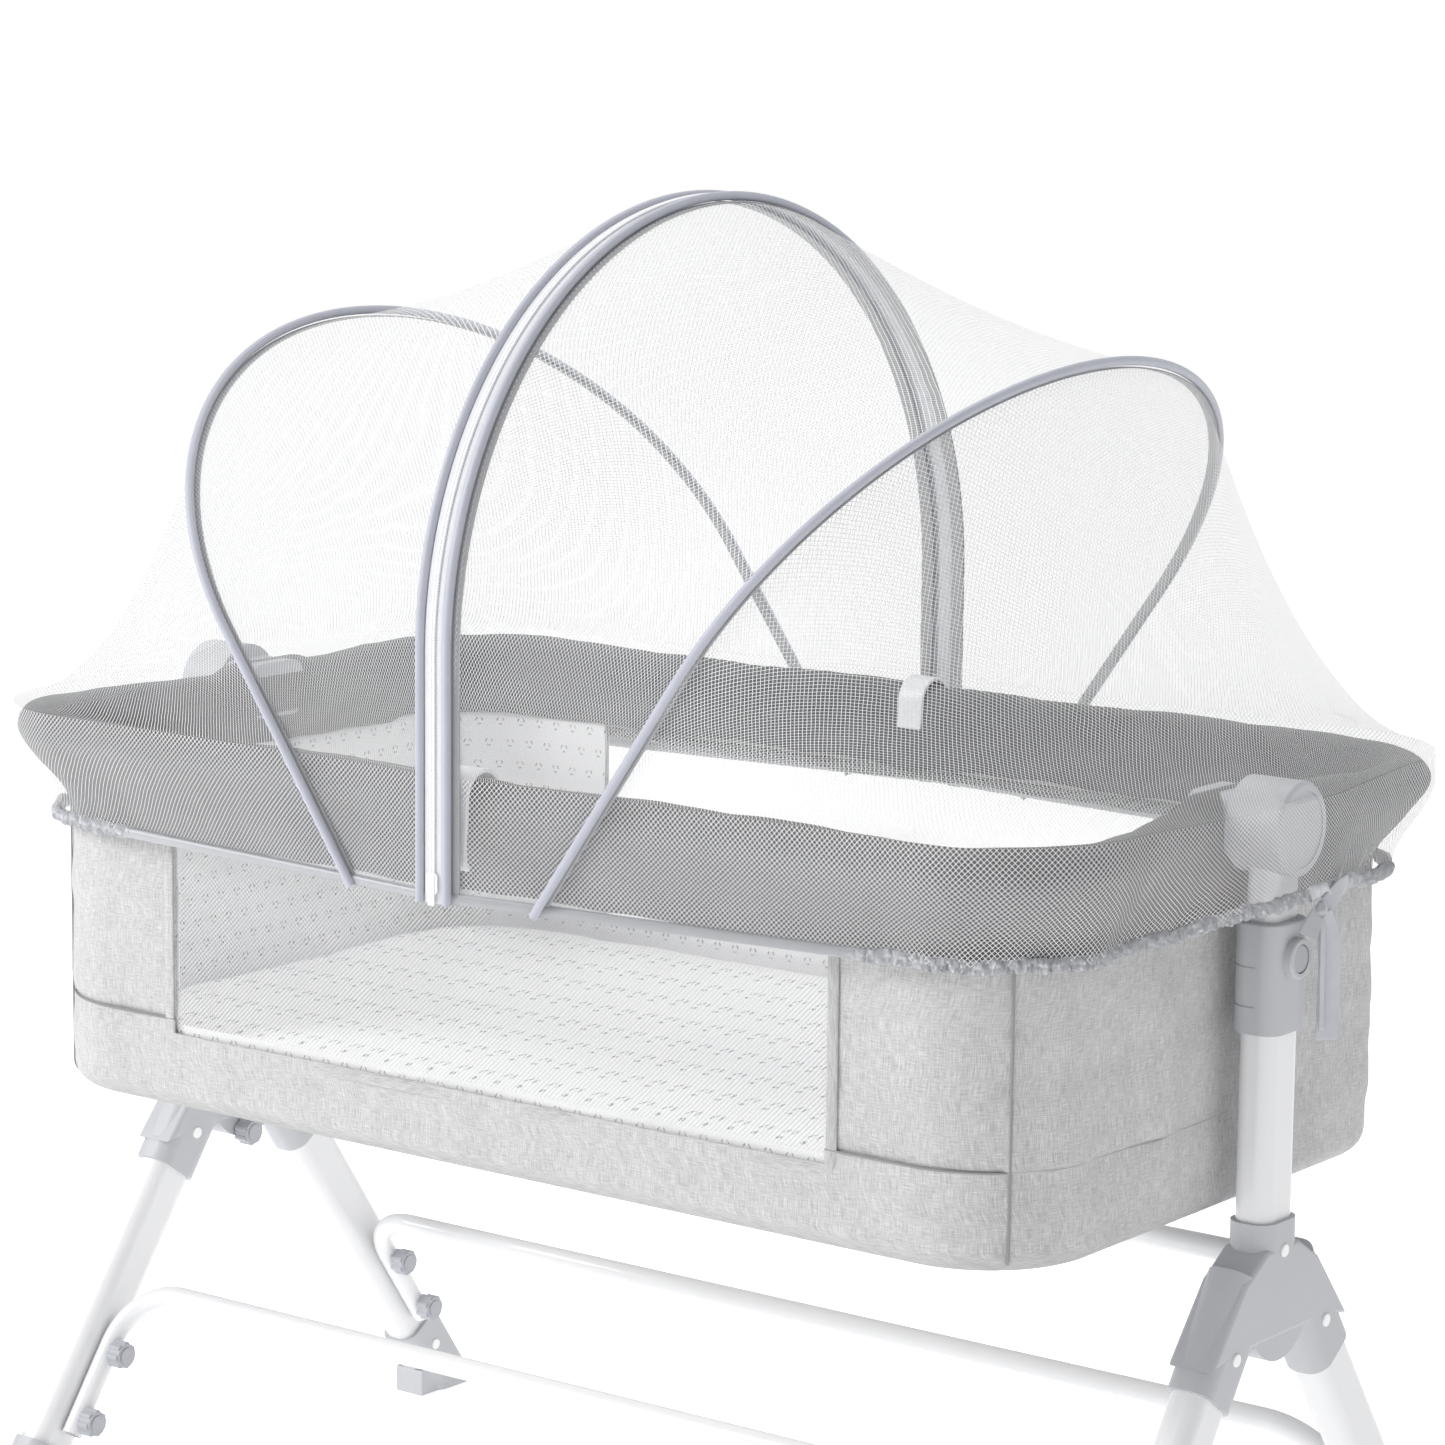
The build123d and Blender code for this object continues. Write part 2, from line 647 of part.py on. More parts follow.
def mesh_window():
    """Mesh panel in the far long side."""
    height = window_top_z - window_low_z
    y = basket_y - basket_wall / 2
    return Pos(0, y, window_low_z + height / 2) * Box(2 * window_x, mesh_t, height)


def base_board():
    low = basket_bottom_z + basket_wall + board_gap
    return Pos(0, 0, low) * extrude(basket_plan(-basket_edge_r - basket_wall), board_t)


def mattress():
    """Flat mattress with rounded edges, on the base board."""
    low = basket_bottom_z + basket_wall + board_t + 2 * board_gap
    body = Pos(0, 0, low) * extrude(basket_plan(-basket_wall - liner_t - mattress_gap), mattress_t)
    return fillet(body.edges().group_by(Axis.Z)[-1] + body.edges().group_by(Axis.Z)[0], mattress_edge_r)


def liner():
    """Thin white lining of the walls above the mattress."""
    grow = -basket_wall - liner_gap
    ring = basket_plan(grow) - basket_plan(grow - liner_t)
    body = Pos(0, 0, liner_low_z) * extrude(ring, basket_top_z - liner_low_z)
    return body - window_cut(liner_low_z - 1, window_top_z, window_x)


# ---------------------------------------------------------------- mosquito net

def arch_wire(half, low, spring, apex):
    """Arch in a plane: upright sides, then half an ellipse. X is across, Y is up."""
    left = Line((-half, low), (-half, spring))
    crown = EllipticalCenterArc((0, spring), half, apex - spring, start_angle=180, arc_size=-180)
    right = Line((half, spring), (half, low))
    return left, crown, right


def arch_face(half, low, spring, apex):
    left, crown, right = arch_wire(half, low, spring, apex)
    return make_face([left, crown, right, Line((half, low), (-half, low))])


def arch_plane(x, lean):
    """Plane of a hoop: across is +Y, up leans outwards by an angle, at a place along X on the floor."""
    slope = math.radians(lean)
    return Plane(origin=(x, 0, 0), x_dir=(0, 1, 0), z_dir=(math.cos(slope), 0, -math.sin(slope)))


side_lean = math.degrees(math.atan2(side_apex_x - side_foot_x, side_apex_z - hoop_foot_z))
side_floor_x = side_foot_x - hoop_foot_z * math.tan(math.radians(side_lean))
side_stretch = 1 / math.cos(math.radians(side_lean))


def hoop(x, lean, stretch, half, apex):
    """Sprung wire in its piping, bent to an arch."""
    parts = arch_wire(half, hoop_foot_z * stretch, hoop_spring_z * stretch, apex * stretch)
    path = arch_plane(x, lean) * Wire(parts)
    return sweep(Plane(origin=path @ 0, z_dir=path % 0) * Circle(hoop_r), path=path)


def net_section(x, lean, half, spring, apex, inset, low):
    stretch = 1 / math.cos(math.radians(lean))
    face = arch_face(half - inset, low * stretch, spring * stretch, (apex - inset) * stretch)
    return arch_plane(x, lean) * face


def canopy():
    """Right half of the net: one thin sheet over the hoops and down to the end of the rail."""
    under = hoop_r + net_gap
    start = centre_hoop_x + under
    lowest = net_rim_z + hem_gap
    side_tops = side_apex_z - under * side_stretch
    saddle_floor = saddle_x - saddle_apex_z * math.tan(math.radians(saddle_lean))
    last = net_hub_x - net_t

    def skin(inset, first, end_x, last_x, low):
        sections = [
            net_section(first, 0, centre_y - under, hoop_spring_z, centre_apex_z - under, inset, low),
            net_section(side_floor_x, side_lean, hoop_y - under, hoop_spring_z, side_tops, inset, low),
            net_section(saddle_floor, saddle_lean, saddle_y, lowest + 40, saddle_apex_z, inset, low),
            net_section(end_x, 0, end_net_y, lowest + 3, end_net_apex_z, inset, low),
            net_section(last_x, 0, last_net_y, lowest + 3, last_net_apex_z, inset, low)]
        return loft(sections, ruled=True)

    body = skin(0, start, end_net_x, last, lowest)
    return body - skin(net_t, start - 1, end_net_x - net_t, last - net_t, lowest - 3)


def net_plan(corner_x, corner_y, radius, side_y, grow):
    """Closed plan of the net: round the corners, out over the hubs and out at the hoops' feet."""
    quarter = [
        (net_hub_x + grow, net_hub_y), (corner_x + grow, corner_y - radius - net_corner_ease),
        (corner_x + grow, corner_y + grow), (side_foot_x, side_y + grow),
        (centre_hoop_x + hoop_r, centre_y - hoop_r - net_gap - hem_lip + grow)]
    far = quarter + [(-x, y) for x, y in reversed(quarter)]
    outline = make_face(Polyline(*far, *[(x, -y) for x, y in reversed(far)], close=True))
    corner = Vector(corner_x + grow, corner_y + grow)
    sharp = [v for v in outline.vertices() if (Vector(abs(v.X), abs(v.Y)) - corner).length < 1]
    return fillet(sharp, radius + grow)


def net_drape(grow):
    """Solid inside the net's lower edge: from the rim in to the hem, closer to the wall at the corners."""
    rim = net_plan(rim_x + net_clear, rim_y + net_clear, rim_corner_r + net_clear, hem_side_y, grow)
    tuck = net_plan(basket_x + hem_out, basket_y + hem_out, hem_corner_r, hem_side_y, grow)
    levels = [(skirt_low_z - 2 * hem_h, tuck), (cover_tuck_z, tuck), (cover_swell_z, rim), (net_rim_z, rim)]
    return loft([Pos(0, 0, z) * plan for z, plan in levels], ruled=True)


def hem_zone(low, high):
    """Block between two heights measured from the hem's line, which rises under both hubs."""
    ease = basket_y + hem_out - hem_corner_r
    end = 2 * rim_y
    far = [(net_hub_y, hem_hub_z), (ease, hem_z), (end, hem_z)]
    line = [(-y, z) for y, z in reversed(far)] + far
    lower = [(y, z + low) for y, z in line]
    upper = [(y, z + high) for y, z in reversed(line)]
    return extrude(Plane.YZ * make_face(Polyline(*lower, *upper, close=True)), 2 * rim_x, both=True)


def skirt():
    """Lower edge of the net, outside the rail and the hubs."""
    body = net_drape(0) - net_drape(-net_t)
    return body & hem_zone(hem_h / 2 + hem_gap, net_rim_z)


def hem():
    """Elastic hem under the skirt."""
    body = net_drape(hem_lip) - net_drape(hem_lip - hem_t)
    return body & hem_zone(-hem_h / 2, hem_h / 2)


def zip_tape():
    """Zip between the two centre hoops, over the whole arch."""
    outer = arch_face(centre_y, hoop_foot_z, hoop_spring_z, centre_apex_z)
    inner = arch_face(centre_y - zip_t, hoop_foot_z - 1, hoop_spring_z, centre_apex_z - zip_t)
    return extrude(arch_plane(0, 0) * (outer - inner), centre_hoop_x - hoop_r - zip_gap, both=True)


def zip_slider():
    """Slider of the zip at its lowest place on the near side."""
    body = Pos(0, -centre_y - slider_t / 2 - slider_gap, slider_z) * Box(slider_w, slider_t, slider_h)
    body = fillet(body.edges().filter_by(Axis.Y), slider_w / 3)
    tab = Pos(0, -centre_y - slider_t - slider_gap, slider_z - tab_drop) * Box(tab_w, tab_t, tab_h)
    return body + tab


def net_clip(x):
    """Hook over the near rail that keeps the centre hoops in place, with a tail on the outer side."""
    near = cover_half + clip_gap
    far = near + clip_t
    top = cover_top_z + clip_gap
    profile = Polyline((near, clip_tail_z), (near, top), (-near, top), (-near, clip_inner_z),
                       (-far, clip_inner_z), (-far, top + clip_t), (far, top + clip_t),
                       (far, clip_tail_z + clip_tail_taper),
                       (near + 1, clip_tail_z), close=True)
    face = Plane.YZ * make_face(profile)
    body = extrude(face, clip_w / 2, both=True)
    return Pos(x, -rail_y, 0) * mirror(body, Plane.XZ)


def ribbon():
    """Tie at the right end: a knot under the hem and a hanging tail."""
    x = net_hub_x + hem_lip + ribbon_t
    top = hem_hub_z - knot_r
    knot = Pos(x + knot_t / 2, ribbon_y, top) * Rot(0, 90, 0) * Cylinder(knot_r, knot_t)
    tail = Pos(x + ribbon_t, ribbon_y, top - ribbon_length / 2) * Box(ribbon_t, ribbon_w, ribbon_length)
    return fillet(knot.edges(), knot_t * 0.3) + tail


# ---------------------------------------------------------------- write every piece

def group(shapes):
    """Identical fasteners as separate solids of one node."""
    return Compound(children=shapes)


def all_nodes():
    nodes = {}
    for end, shape in both_ends(bracket()).items():
        nodes["bracket_" + end] = shape
    for end, shape in both_ends(post_tube()).items():
        nodes["post_tube_" + end] = shape
    for end, shape in both_ends(sleeve()).items():
        nodes["height_sleeve_" + end] = shape
    corners = ["right_rear", "right_front", "left_rear", "left_front"]
    for name, shape in zip(corners, four(leg())):
        nodes["leg_" + name] = shape
    for name, shape in zip(corners, four(foot())):
        nodes["foot_" + name] = shape
    bar_shape = crossbar()
    nodes["crossbar_rear"] = bar_shape
    nodes["crossbar_front"] = mirror(bar_shape, Plane.XZ)
    nodes["crossbar_upper"] = upper_crossbar()
    nodes["crossbar_knobs"] = group(bar_knobs())
    nodes["bracket_knobs"] = group(bracket_knobs())
    nodes["bracket_rivets"] = group(bracket_rivets())
    nodes["foot_rivets"] = group(foot_rivets())
    for end, shape in both_ends(button()).items():
        nodes["height_button_" + end] = shape
    for end, shape in both_ends(button_spring()).items():
        nodes["button_spring_" + end] = shape
    for end, shape in both_ends(inner_tube()).items():
        nodes["inner_tube_" + end] = shape
    for end, shape in both_ends(hub_cover()).items():
        nodes["hub_cover_" + end] = shape
    for end, shape in both_ends(hub_back()).items():
        nodes["hub_back_" + end] = shape
    for end, shape in both_ends(axle()).items():
        nodes["pivot_axle_" + end] = shape
    for end, shape in both_ends(pivot_block()).items():
        nodes["pivot_block_" + end] = shape
    rail_shape = rail()
    nodes["rail_near"] = rail_shape
    nodes["rail_far"] = mirror(rail_shape, Plane.XZ)
    nodes["rail_cover"] = rail_cover()
    nodes["basket_shell"] = basket_shell()
    window = mesh_window()
    nodes["mesh_window_far"] = window
    nodes["mesh_window_near"] = mirror(window, Plane.XZ)
    nodes["base_board"] = base_board()
    nodes["mattress"] = mattress()
    nodes["wall_liner"] = liner()
    for end, shape in both_ends(canopy()).items():
        nodes["net_canopy_" + end] = shape
    nodes["net_skirt"] = skirt()
    nodes["net_hem"] = hem()
    for end, shape in both_ends(hoop(centre_hoop_x, 0, 1.0, centre_y, centre_apex_z)).items():
        nodes["centre_hoop_" + end] = shape
    for end, shape in both_ends(hoop(side_floor_x, side_lean, side_stretch, hoop_y, side_apex_z)).items():
        nodes["side_hoop_" + end] = shape
    nodes["zip_tape"] = zip_tape()
    nodes["zip_slider"] = zip_slider()
    clip = net_clip(clip_x)
    nodes["net_clip_near"] = clip
    nodes["net_clip_far"] = mirror(clip, Plane.XZ)
    for end, shape in both_ends(ribbon()).items():
        nodes["ribbon_tie_" + end] = shape
    return nodes


os.makedirs("parts", exist_ok=True)
for node, shape in all_nodes().items():
    export_step(shape, "parts/" + node + ".step")
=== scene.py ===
"""Looks of a bassinet on a telescopic A-frame stand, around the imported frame. Everything is in metres."""
import math

import bpy
import numpy as np
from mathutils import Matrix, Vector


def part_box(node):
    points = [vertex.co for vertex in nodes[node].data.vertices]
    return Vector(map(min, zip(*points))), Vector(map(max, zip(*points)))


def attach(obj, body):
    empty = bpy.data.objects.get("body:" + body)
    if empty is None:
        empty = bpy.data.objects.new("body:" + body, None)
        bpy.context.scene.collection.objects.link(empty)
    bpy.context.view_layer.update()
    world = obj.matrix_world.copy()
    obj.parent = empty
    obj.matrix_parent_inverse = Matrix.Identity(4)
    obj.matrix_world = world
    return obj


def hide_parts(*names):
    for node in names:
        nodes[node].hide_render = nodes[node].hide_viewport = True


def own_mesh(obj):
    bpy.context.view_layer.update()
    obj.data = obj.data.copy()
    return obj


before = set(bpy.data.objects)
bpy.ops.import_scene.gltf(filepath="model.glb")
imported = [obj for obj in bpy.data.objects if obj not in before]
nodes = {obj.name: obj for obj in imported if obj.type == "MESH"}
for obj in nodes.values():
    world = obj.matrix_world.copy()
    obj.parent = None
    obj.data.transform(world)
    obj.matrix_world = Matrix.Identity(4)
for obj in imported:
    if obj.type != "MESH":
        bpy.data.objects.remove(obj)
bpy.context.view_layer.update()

# ------------------------------------------------------------------ places, worked out from the frame

block_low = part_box("pivot_block_right")[0]
rail_low, rail_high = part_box("rail_near")
shell_low, shell_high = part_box("basket_shell")
cover_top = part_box("rail_cover")[1].z
window_low, window_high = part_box("mesh_window_far")
bed_low, bed_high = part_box("mattress")
hoop_low, hoop_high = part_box("centre_hoop_right")
side_low, side_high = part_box("side_hoop_right")
skirt_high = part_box("net_skirt")[1]

BAND_PROUD = 0.0012                                  # the lower band stands out from the wall
basket_x = shell_high.x - BAND_PROUD
basket_y = shell_high.y - BAND_PROUD
CORNER = 0.080                                       # corner radius of the basket and of the rail
BAND_TOP = 0.404                                     # top seam of the lower band
WALL = 0.003                                         # thickness of the basket wall
rail_r = (rail_high.z - rail_low.z) / 2
rail_x = rail_high.x - rail_r
rail_y = -rail_low.y - rail_r
COVER_HALF = 0.014                                   # rail cover, half width
rail_waist = block_low.x + COVER_HALF                # rail axis beside the hub
NET_CLEAR = 0.0016                                   # net outside the rail cover
net_rim_z = skirt_high.z
net_hub_x = skirt_high.x
NET_HUB_Y = 0.032                                    # half length of the net over the hub
HOOP_R = 0.003
centre_y = (hoop_high.y - hoop_low.y) / 2 - HOOP_R   # half width of the centre hoops
side_half = (side_high.y - side_low.y) / 2 - HOOP_R  # half width of the side hoops
CENTRE_HOOP_X = 0.011                                # centre hoops, each side of the middle
SPRING_Z = 0.684                                     # the hoops' upright sides end here
FOOT_Z = 0.527                                       # the hoops' lower ends
SIDE_FOOT_X = 0.075                                  # side hoop at its foot and at its top
SIDE_APEX_X = 0.313
SIDE_APEX_Z = 0.868
centre_apex = hoop_high.z - HOOP_R
HEM_Z = 0.531
HEM_HUB_Z = 0.549
HEM_OUT = 0.0095
HEM_SIDE_Y = 0.2695
HEM_CORNER = 0.088


# ------------------------------------------------------------------ mesh tools

def smoothstep(low, high, x):
    """0 before low, 1 after high and a smooth cubic between them."""
    t = np.clip((x - low) / (high - low), 0, 1)
    return t * t * (3 - 2 * t)


def grid_piece(name, points, uv=None, close_rows=False, close_columns=False, skip=None):
    """Mesh of a grid of points (rows, columns, 3): one quad between each four neighbours.
    uv gives each point a place on the flat cloth, and skip is a mask of quads to leave out."""
    rows, columns = points.shape[:2]
    index = np.arange(rows * columns).reshape(rows, columns)
    r = np.arange(rows if close_rows else rows - 1)
    c = np.arange(columns if close_columns else columns - 1)
    r0, c0 = np.meshgrid(r, c, indexing="ij")
    r1 = (r0 + 1) % rows
    c1 = (c0 + 1) % columns
    quads = np.stack([index[r0, c0], index[r0, c1], index[r1, c1], index[r1, c0]], -1)
    wrap = np.stack([r0, c0, r0, c0 + 1, r0 + 1, c0 + 1, r0 + 1, c0], -1)
    keep = np.ones(r0.shape, bool) if skip is None else ~skip[: len(r), : len(c)]
    quads, wrap = quads[keep], wrap[keep]
    mesh = bpy.data.meshes.new(name)
    mesh.vertices.add(rows * columns)
    mesh.vertices.foreach_set("co", points.reshape(-1).astype(np.float32))
    mesh.loops.add(quads.size)
    mesh.loops.foreach_set("vertex_index", quads.reshape(-1).astype(np.int32))
    mesh.polygons.add(len(quads))
    mesh.polygons.foreach_set("loop_start", np.arange(len(quads), dtype=np.int32) * 4)
    if uv is not None:
        layer = mesh.uv_layers.new(name="cloth")
        full = np.zeros((rows + 1, columns + 1, 2))
        full[:rows, :columns] = uv
        full[rows, :columns] = uv[-1] + (uv[-1] - uv[-2])
        full[:, columns] = full[:, columns - 1] * 2 - full[:, columns - 2]
        pairs = wrap.reshape(-1, 4, 2)
        layer.data.foreach_set("uv", full[pairs[..., 0], pairs[..., 1]].reshape(-1).astype(np.float32))
    mesh.update(calc_edges=True)
    mesh.validate()
    mesh.polygons.foreach_set("use_smooth", np.ones(len(mesh.polygons), bool))
    piece = bpy.data.objects.new(name, mesh)
    bpy.context.scene.collection.objects.link(piece)
    if skip is not None:
        drop_loose(piece)
    return piece


def drop_loose(piece):
    """Delete points that no face uses."""
    import bmesh
    soup = bmesh.new()
    soup.from_mesh(piece.data)
    bmesh.ops.delete(soup, geom=[v for v in soup.verts if not v.link_faces], context="VERTS")
    soup.to_mesh(piece.data)
    soup.free()


def lengths(points, axis):
    """Distance run along one axis of a grid of points, from its first row or column."""
    step = np.linalg.norm(np.diff(points, axis=axis), axis=-1)
    start = np.zeros_like(np.take(step, [0], axis=axis))
    return np.concatenate([start, np.cumsum(step, axis=axis)], axis=axis)


def even_uv(points):
    """Cloth coordinates that stay square across a sheet: each row and each column takes its mean place."""
    down = lengths(points, 0).mean(1, keepdims=True)
    across = lengths(points, 1).mean(0, keepdims=True)
    return np.stack(np.broadcast_arrays(across, down), -1)


def flat_uv(points):
    """Cloth coordinates of a grid: the distance run along the columns, and along the rows."""
    return np.stack([lengths(points, 1), lengths(points, 0)], -1)


def resample(points, count):
    """The same open path with a number of evenly spaced points."""
    run = lengths(points, 0)
    even = np.linspace(0, run[-1], count)
    return np.stack([np.interp(even, run, points[:, k]) for k in range(points.shape[1])], -1)


def smooth_path(points, count):
    """Catmull-Rom curve through chosen points, evenly resampled."""
    p = np.asarray(points, float)
    p = np.vstack([2 * p[0] - p[1], p, 2 * p[-1] - p[-2]])
    t = np.linspace(0, 1, 24, endpoint=False)[:, None]
    spans = []
    for a, b, c, d in zip(p[:-3], p[1:-2], p[2:-1], p[3:]):
        spans.append(0.5 * (2 * b + (c - a) * t + (2 * a - 5 * b + 4 * c - d) * t ** 2
                            + (3 * b - a - 3 * c + d) * t ** 3))
    return resample(np.vstack(spans + [p[-2:-1]]), count)


def unit(v):
    return v / np.maximum(np.linalg.norm(v, axis=-1, keepdims=True), 1e-12)


def tangents(path, closed=False):
    """Unit direction of a path at each of its points."""
    if closed:
        return unit(np.roll(path, -1, 0) - np.roll(path, 1, 0))
    return unit(np.gradient(path, axis=0))


def oval(width, height, count, power=2.0):
    """Closed super-ellipse of a width and height; a higher power makes it squarer."""
    a = np.linspace(0, 2 * math.pi, count, endpoint=False)
    c, s = np.cos(a), np.sin(a)
    x = np.sign(c) * np.abs(c) ** (2 / power) * width / 2
    y = np.sign(s) * np.abs(s) ** (2 / power) * height / 2
    return np.stack([x, y], -1)


def ripple(x, seed, octaves=5, base=1.0, gain=0.62):
    """Irregular wave of x: sines whose pitch nearly doubles each time, with seeded phases, about -1 to 1."""
    rng = np.random.default_rng(seed)
    total = np.zeros_like(x, float)
    size = 0
    for k in range(octaves):
        pitch = base * (1.83 ** k) * rng.uniform(0.85, 1.15)
        total += gain ** k * np.sin(2 * math.pi * (pitch * x + rng.uniform()))
        size += gain ** k
    return total / size * 1.6


def modifier(piece, kind, **values):
    made = piece.modifiers.new(kind.lower(), kind)
    for key, value in values.items():
        setattr(made, key, value)
    return made


def thicken(piece, thickness, offset=0.0):
    modifier(piece, "SOLIDIFY", thickness=thickness, offset=offset)


def subdivide(piece, levels=1):
    modifier(piece, "SUBSURF", levels=levels, render_levels=levels)


# ------------------------------------------------------------------ plans

SPANS = (8, 18, 8, 26, 44, 16)      # hub, slope, straight end, corner, side, middle


def plan(hub_x, hub_y, swell_y, corner_x, corner_y, radius, foot_x, side_y, mid_y):
    """Closed plan, counter-clockwise from the middle of the right end. Each quarter runs over the hub, out to
    the end's full length, round the corner's arc, along the side and to the middle."""
    a = np.linspace(0, math.pi / 2, SPANS[3] + 1)[:-1]
    arc = np.stack([corner_x - radius + radius * np.cos(a), corner_y - radius + radius * np.sin(a)], -1)
    keys = [(hub_x, 0), (hub_x, hub_y), (corner_x, swell_y), (corner_x, corner_y - radius)]
    tail = [(corner_x - radius, corner_y), (foot_x, side_y), (0, mid_y)]
    parts = [np.linspace(keys[k], keys[k + 1], SPANS[k], endpoint=False) for k in range(3)]
    parts += [arc, np.linspace(tail[0], tail[1], SPANS[4], endpoint=False),
              np.linspace(tail[1], tail[2], SPANS[5], endpoint=False)]
    quarter = np.vstack(parts)
    far_left = np.vstack([[(0, mid_y)], quarter[:0:-1]]) * (-1, 1)
    near_left = quarter * (-1, -1)
    near_right = np.vstack([[(0, mid_y)], quarter[:0:-1]]) * (1, -1)
    return np.vstack([quarter, far_left, near_left, near_right])


def rail_plan(grow):
    """Plan round the rail, moved outwards from its axis."""
    return plan(rail_waist + grow, 0.046, 0.1375, rail_x + grow, rail_y + grow, CORNER + grow,
                SIDE_FOOT_X, rail_y + grow, rail_y + grow)


def wall_plan(grow):
    """Plan of the basket wall, moved outwards; its side has a point at each window edge."""
    edge = window_high.x
    return plan(basket_x + grow, 0.046, 0.1, basket_x + grow, basket_y + grow, CORNER + grow,
                edge, basket_y + grow, basket_y + grow)


def wall_plan_rail(grow):
    """Plan of the basket wall with its points spaced as on the rail."""
    return plan(basket_x + grow, 0.046, 0.1375, basket_x + grow, basket_y + grow, CORNER + grow,
                SIDE_FOOT_X, basket_y + grow, basket_y + grow)


def net_plan(corner_x, corner_y, radius, side_y, grow=0.0):
    """Plan of the net: round the corners, out over the hubs and out at the hoops' feet."""
    return plan(net_hub_x + grow, NET_HUB_Y, corner_y - radius - 0.012, corner_x + grow, corner_y + grow,
                radius + grow, SIDE_FOOT_X, side_y + grow, centre_y - HOOP_R - 0.001 + grow)


def rim_net_plan(grow=0.0):
    edge = COVER_HALF + NET_CLEAR
    return net_plan(rail_x + edge, rail_y + edge, CORNER + edge, HEM_SIDE_Y, grow)


def hem_net_plan(grow=0.0):
    return net_plan(basket_x + HEM_OUT, basket_y + HEM_OUT, HEM_CORNER, HEM_SIDE_Y, grow)


def hem_height(xy):
    """Height of the hem's middle: level along the sides and rising to pass under the hubs."""
    ease = basket_y + HEM_OUT - HEM_CORNER
    share = np.clip((ease - np.abs(xy[:, 1])) / (ease - NET_HUB_Y), 0, 1)
    return HEM_Z + (HEM_HUB_Z - HEM_Z) * share


def raise_plan(xy, z):
    return np.concatenate([xy, np.broadcast_to(np.asarray(z, float).reshape(-1, 1), (len(xy), 1))], -1)


# ------------------------------------------------------------------ shader tools

class Sock:
    """A shader socket that adds Math nodes when Python operators are used on it."""

    def __init__(self, tree, socket):
        self.tree = tree
        self.socket = socket

    def math(self, operation, *others):
        made = self.tree.nodes.new("ShaderNodeMath")
        made.operation = operation
        for slot, value in zip(made.inputs, (self,) + others):
            feed(self.tree, slot, value)
        return Sock(self.tree, made.outputs[0])

    def __add__(self, other):
        return self.math("ADD", other)

    def __mul__(self, other):
        return self.math("MULTIPLY", other)

    def __sub__(self, other):
        return self.math("SUBTRACT", other)

    def __rsub__(self, other):
        return (self * -1.0) + other

    __radd__ = __add__
    __rmul__ = __mul__

    def fract(self):
        return self.math("FRACT")

    def floor(self):
        return self.math("FLOOR")

    def abs(self):
        return self.math("ABSOLUTE")

    def clip(self):
        made = self.math("ADD", 0.0)
        made.socket.node.use_clamp = True
        return made

    def sine(self):
        return self.math("SINE")

    def smooth(self, low, high):
        """Smooth step from 0 at low to 1 at high."""
        made = self.tree.nodes.new("ShaderNodeMapRange")
        made.interpolation_type = "SMOOTHSTEP"
        for name, value in (("Value", self), ("From Min", low), ("From Max", high)):
            feed(self.tree, made.inputs[name], value)
        return Sock(self.tree, made.outputs["Result"])


def feed(tree, slot, value):
    """Link a socket or set a constant."""
    if isinstance(value, Sock):
        tree.links.new(value.socket, slot)
    else:
        slot.default_value = value


class Finish:
    """A material under construction: its node tree, its coordinates and its main shader."""

    def __init__(self, name, **constants):
        self.material = bpy.data.materials.new(name)
        self.material.use_nodes = True
        self.tree = self.material.node_tree
        self.shader = self.tree.nodes["Principled BSDF"]
        for key, value in constants.items():
            self.shader.inputs[key.replace("_", " ")].default_value = value

    def node(self, kind, output, settings=None, **inputs):
        """Any other node: its settings first, then its sockets; returns the named output."""
        made = self.tree.nodes.new(kind)
        for key, value in (settings or {}).items():
            setattr(made, key, value)
        for key, value in inputs.items():
            feed(self.tree, made.inputs[key.replace("_", " ")], value)
        return Sock(self.tree, made.outputs[output])

    def place(self):
        return self.node("ShaderNodeTexCoord", "Object")

    def cloth(self):
        return self.node("ShaderNodeUVMap", "UV", {"uv_map": "cloth"})

    def split(self, vector):
        made = self.tree.nodes.new("ShaderNodeSeparateXYZ")
        feed(self.tree, made.inputs[0], vector)
        return [Sock(self.tree, o) for o in made.outputs]

    def scaled(self, vector, x, y, z):
        made = self.tree.nodes.new("ShaderNodeVectorMath")
        made.operation = "MULTIPLY"
        feed(self.tree, made.inputs[0], vector)
        made.inputs[1].default_value = (x, y, z)
        return Sock(self.tree, made.outputs[0])

    def noise(self, vector, scale, detail=2.0, roughness=0.5):
        return self.node("ShaderNodeTexNoise", "Fac", None, Vector=vector, Scale=scale, Detail=detail,
                         Roughness=roughness)

    def mix(self, share, first, second):
        """Colour between two colours."""
        made = self.tree.nodes.new("ShaderNodeMix")
        made.data_type = "RGBA"
        feed(self.tree, made.inputs[0], share)
        for slot, value in ((made.inputs[6], first), (made.inputs[7], second)):
            feed(self.tree, slot, value if isinstance(value, Sock) else (*value, 1.0))
        return Sock(self.tree, made.outputs[2])

    def bump(self, height, distance, strength=1.0):
        normal = self.node("ShaderNodeBump", "Normal", None, Height=height, Distance=distance,
                           Strength=strength)
        self.tree.links.new(normal.socket, self.shader.inputs["Normal"])

    def set(self, **inputs):
        for key, value in inputs.items():
            feed(self.tree, self.shader.inputs[key.replace("_", " ")], value)
        return self.material


# ------------------------------------------------------------------ finishes

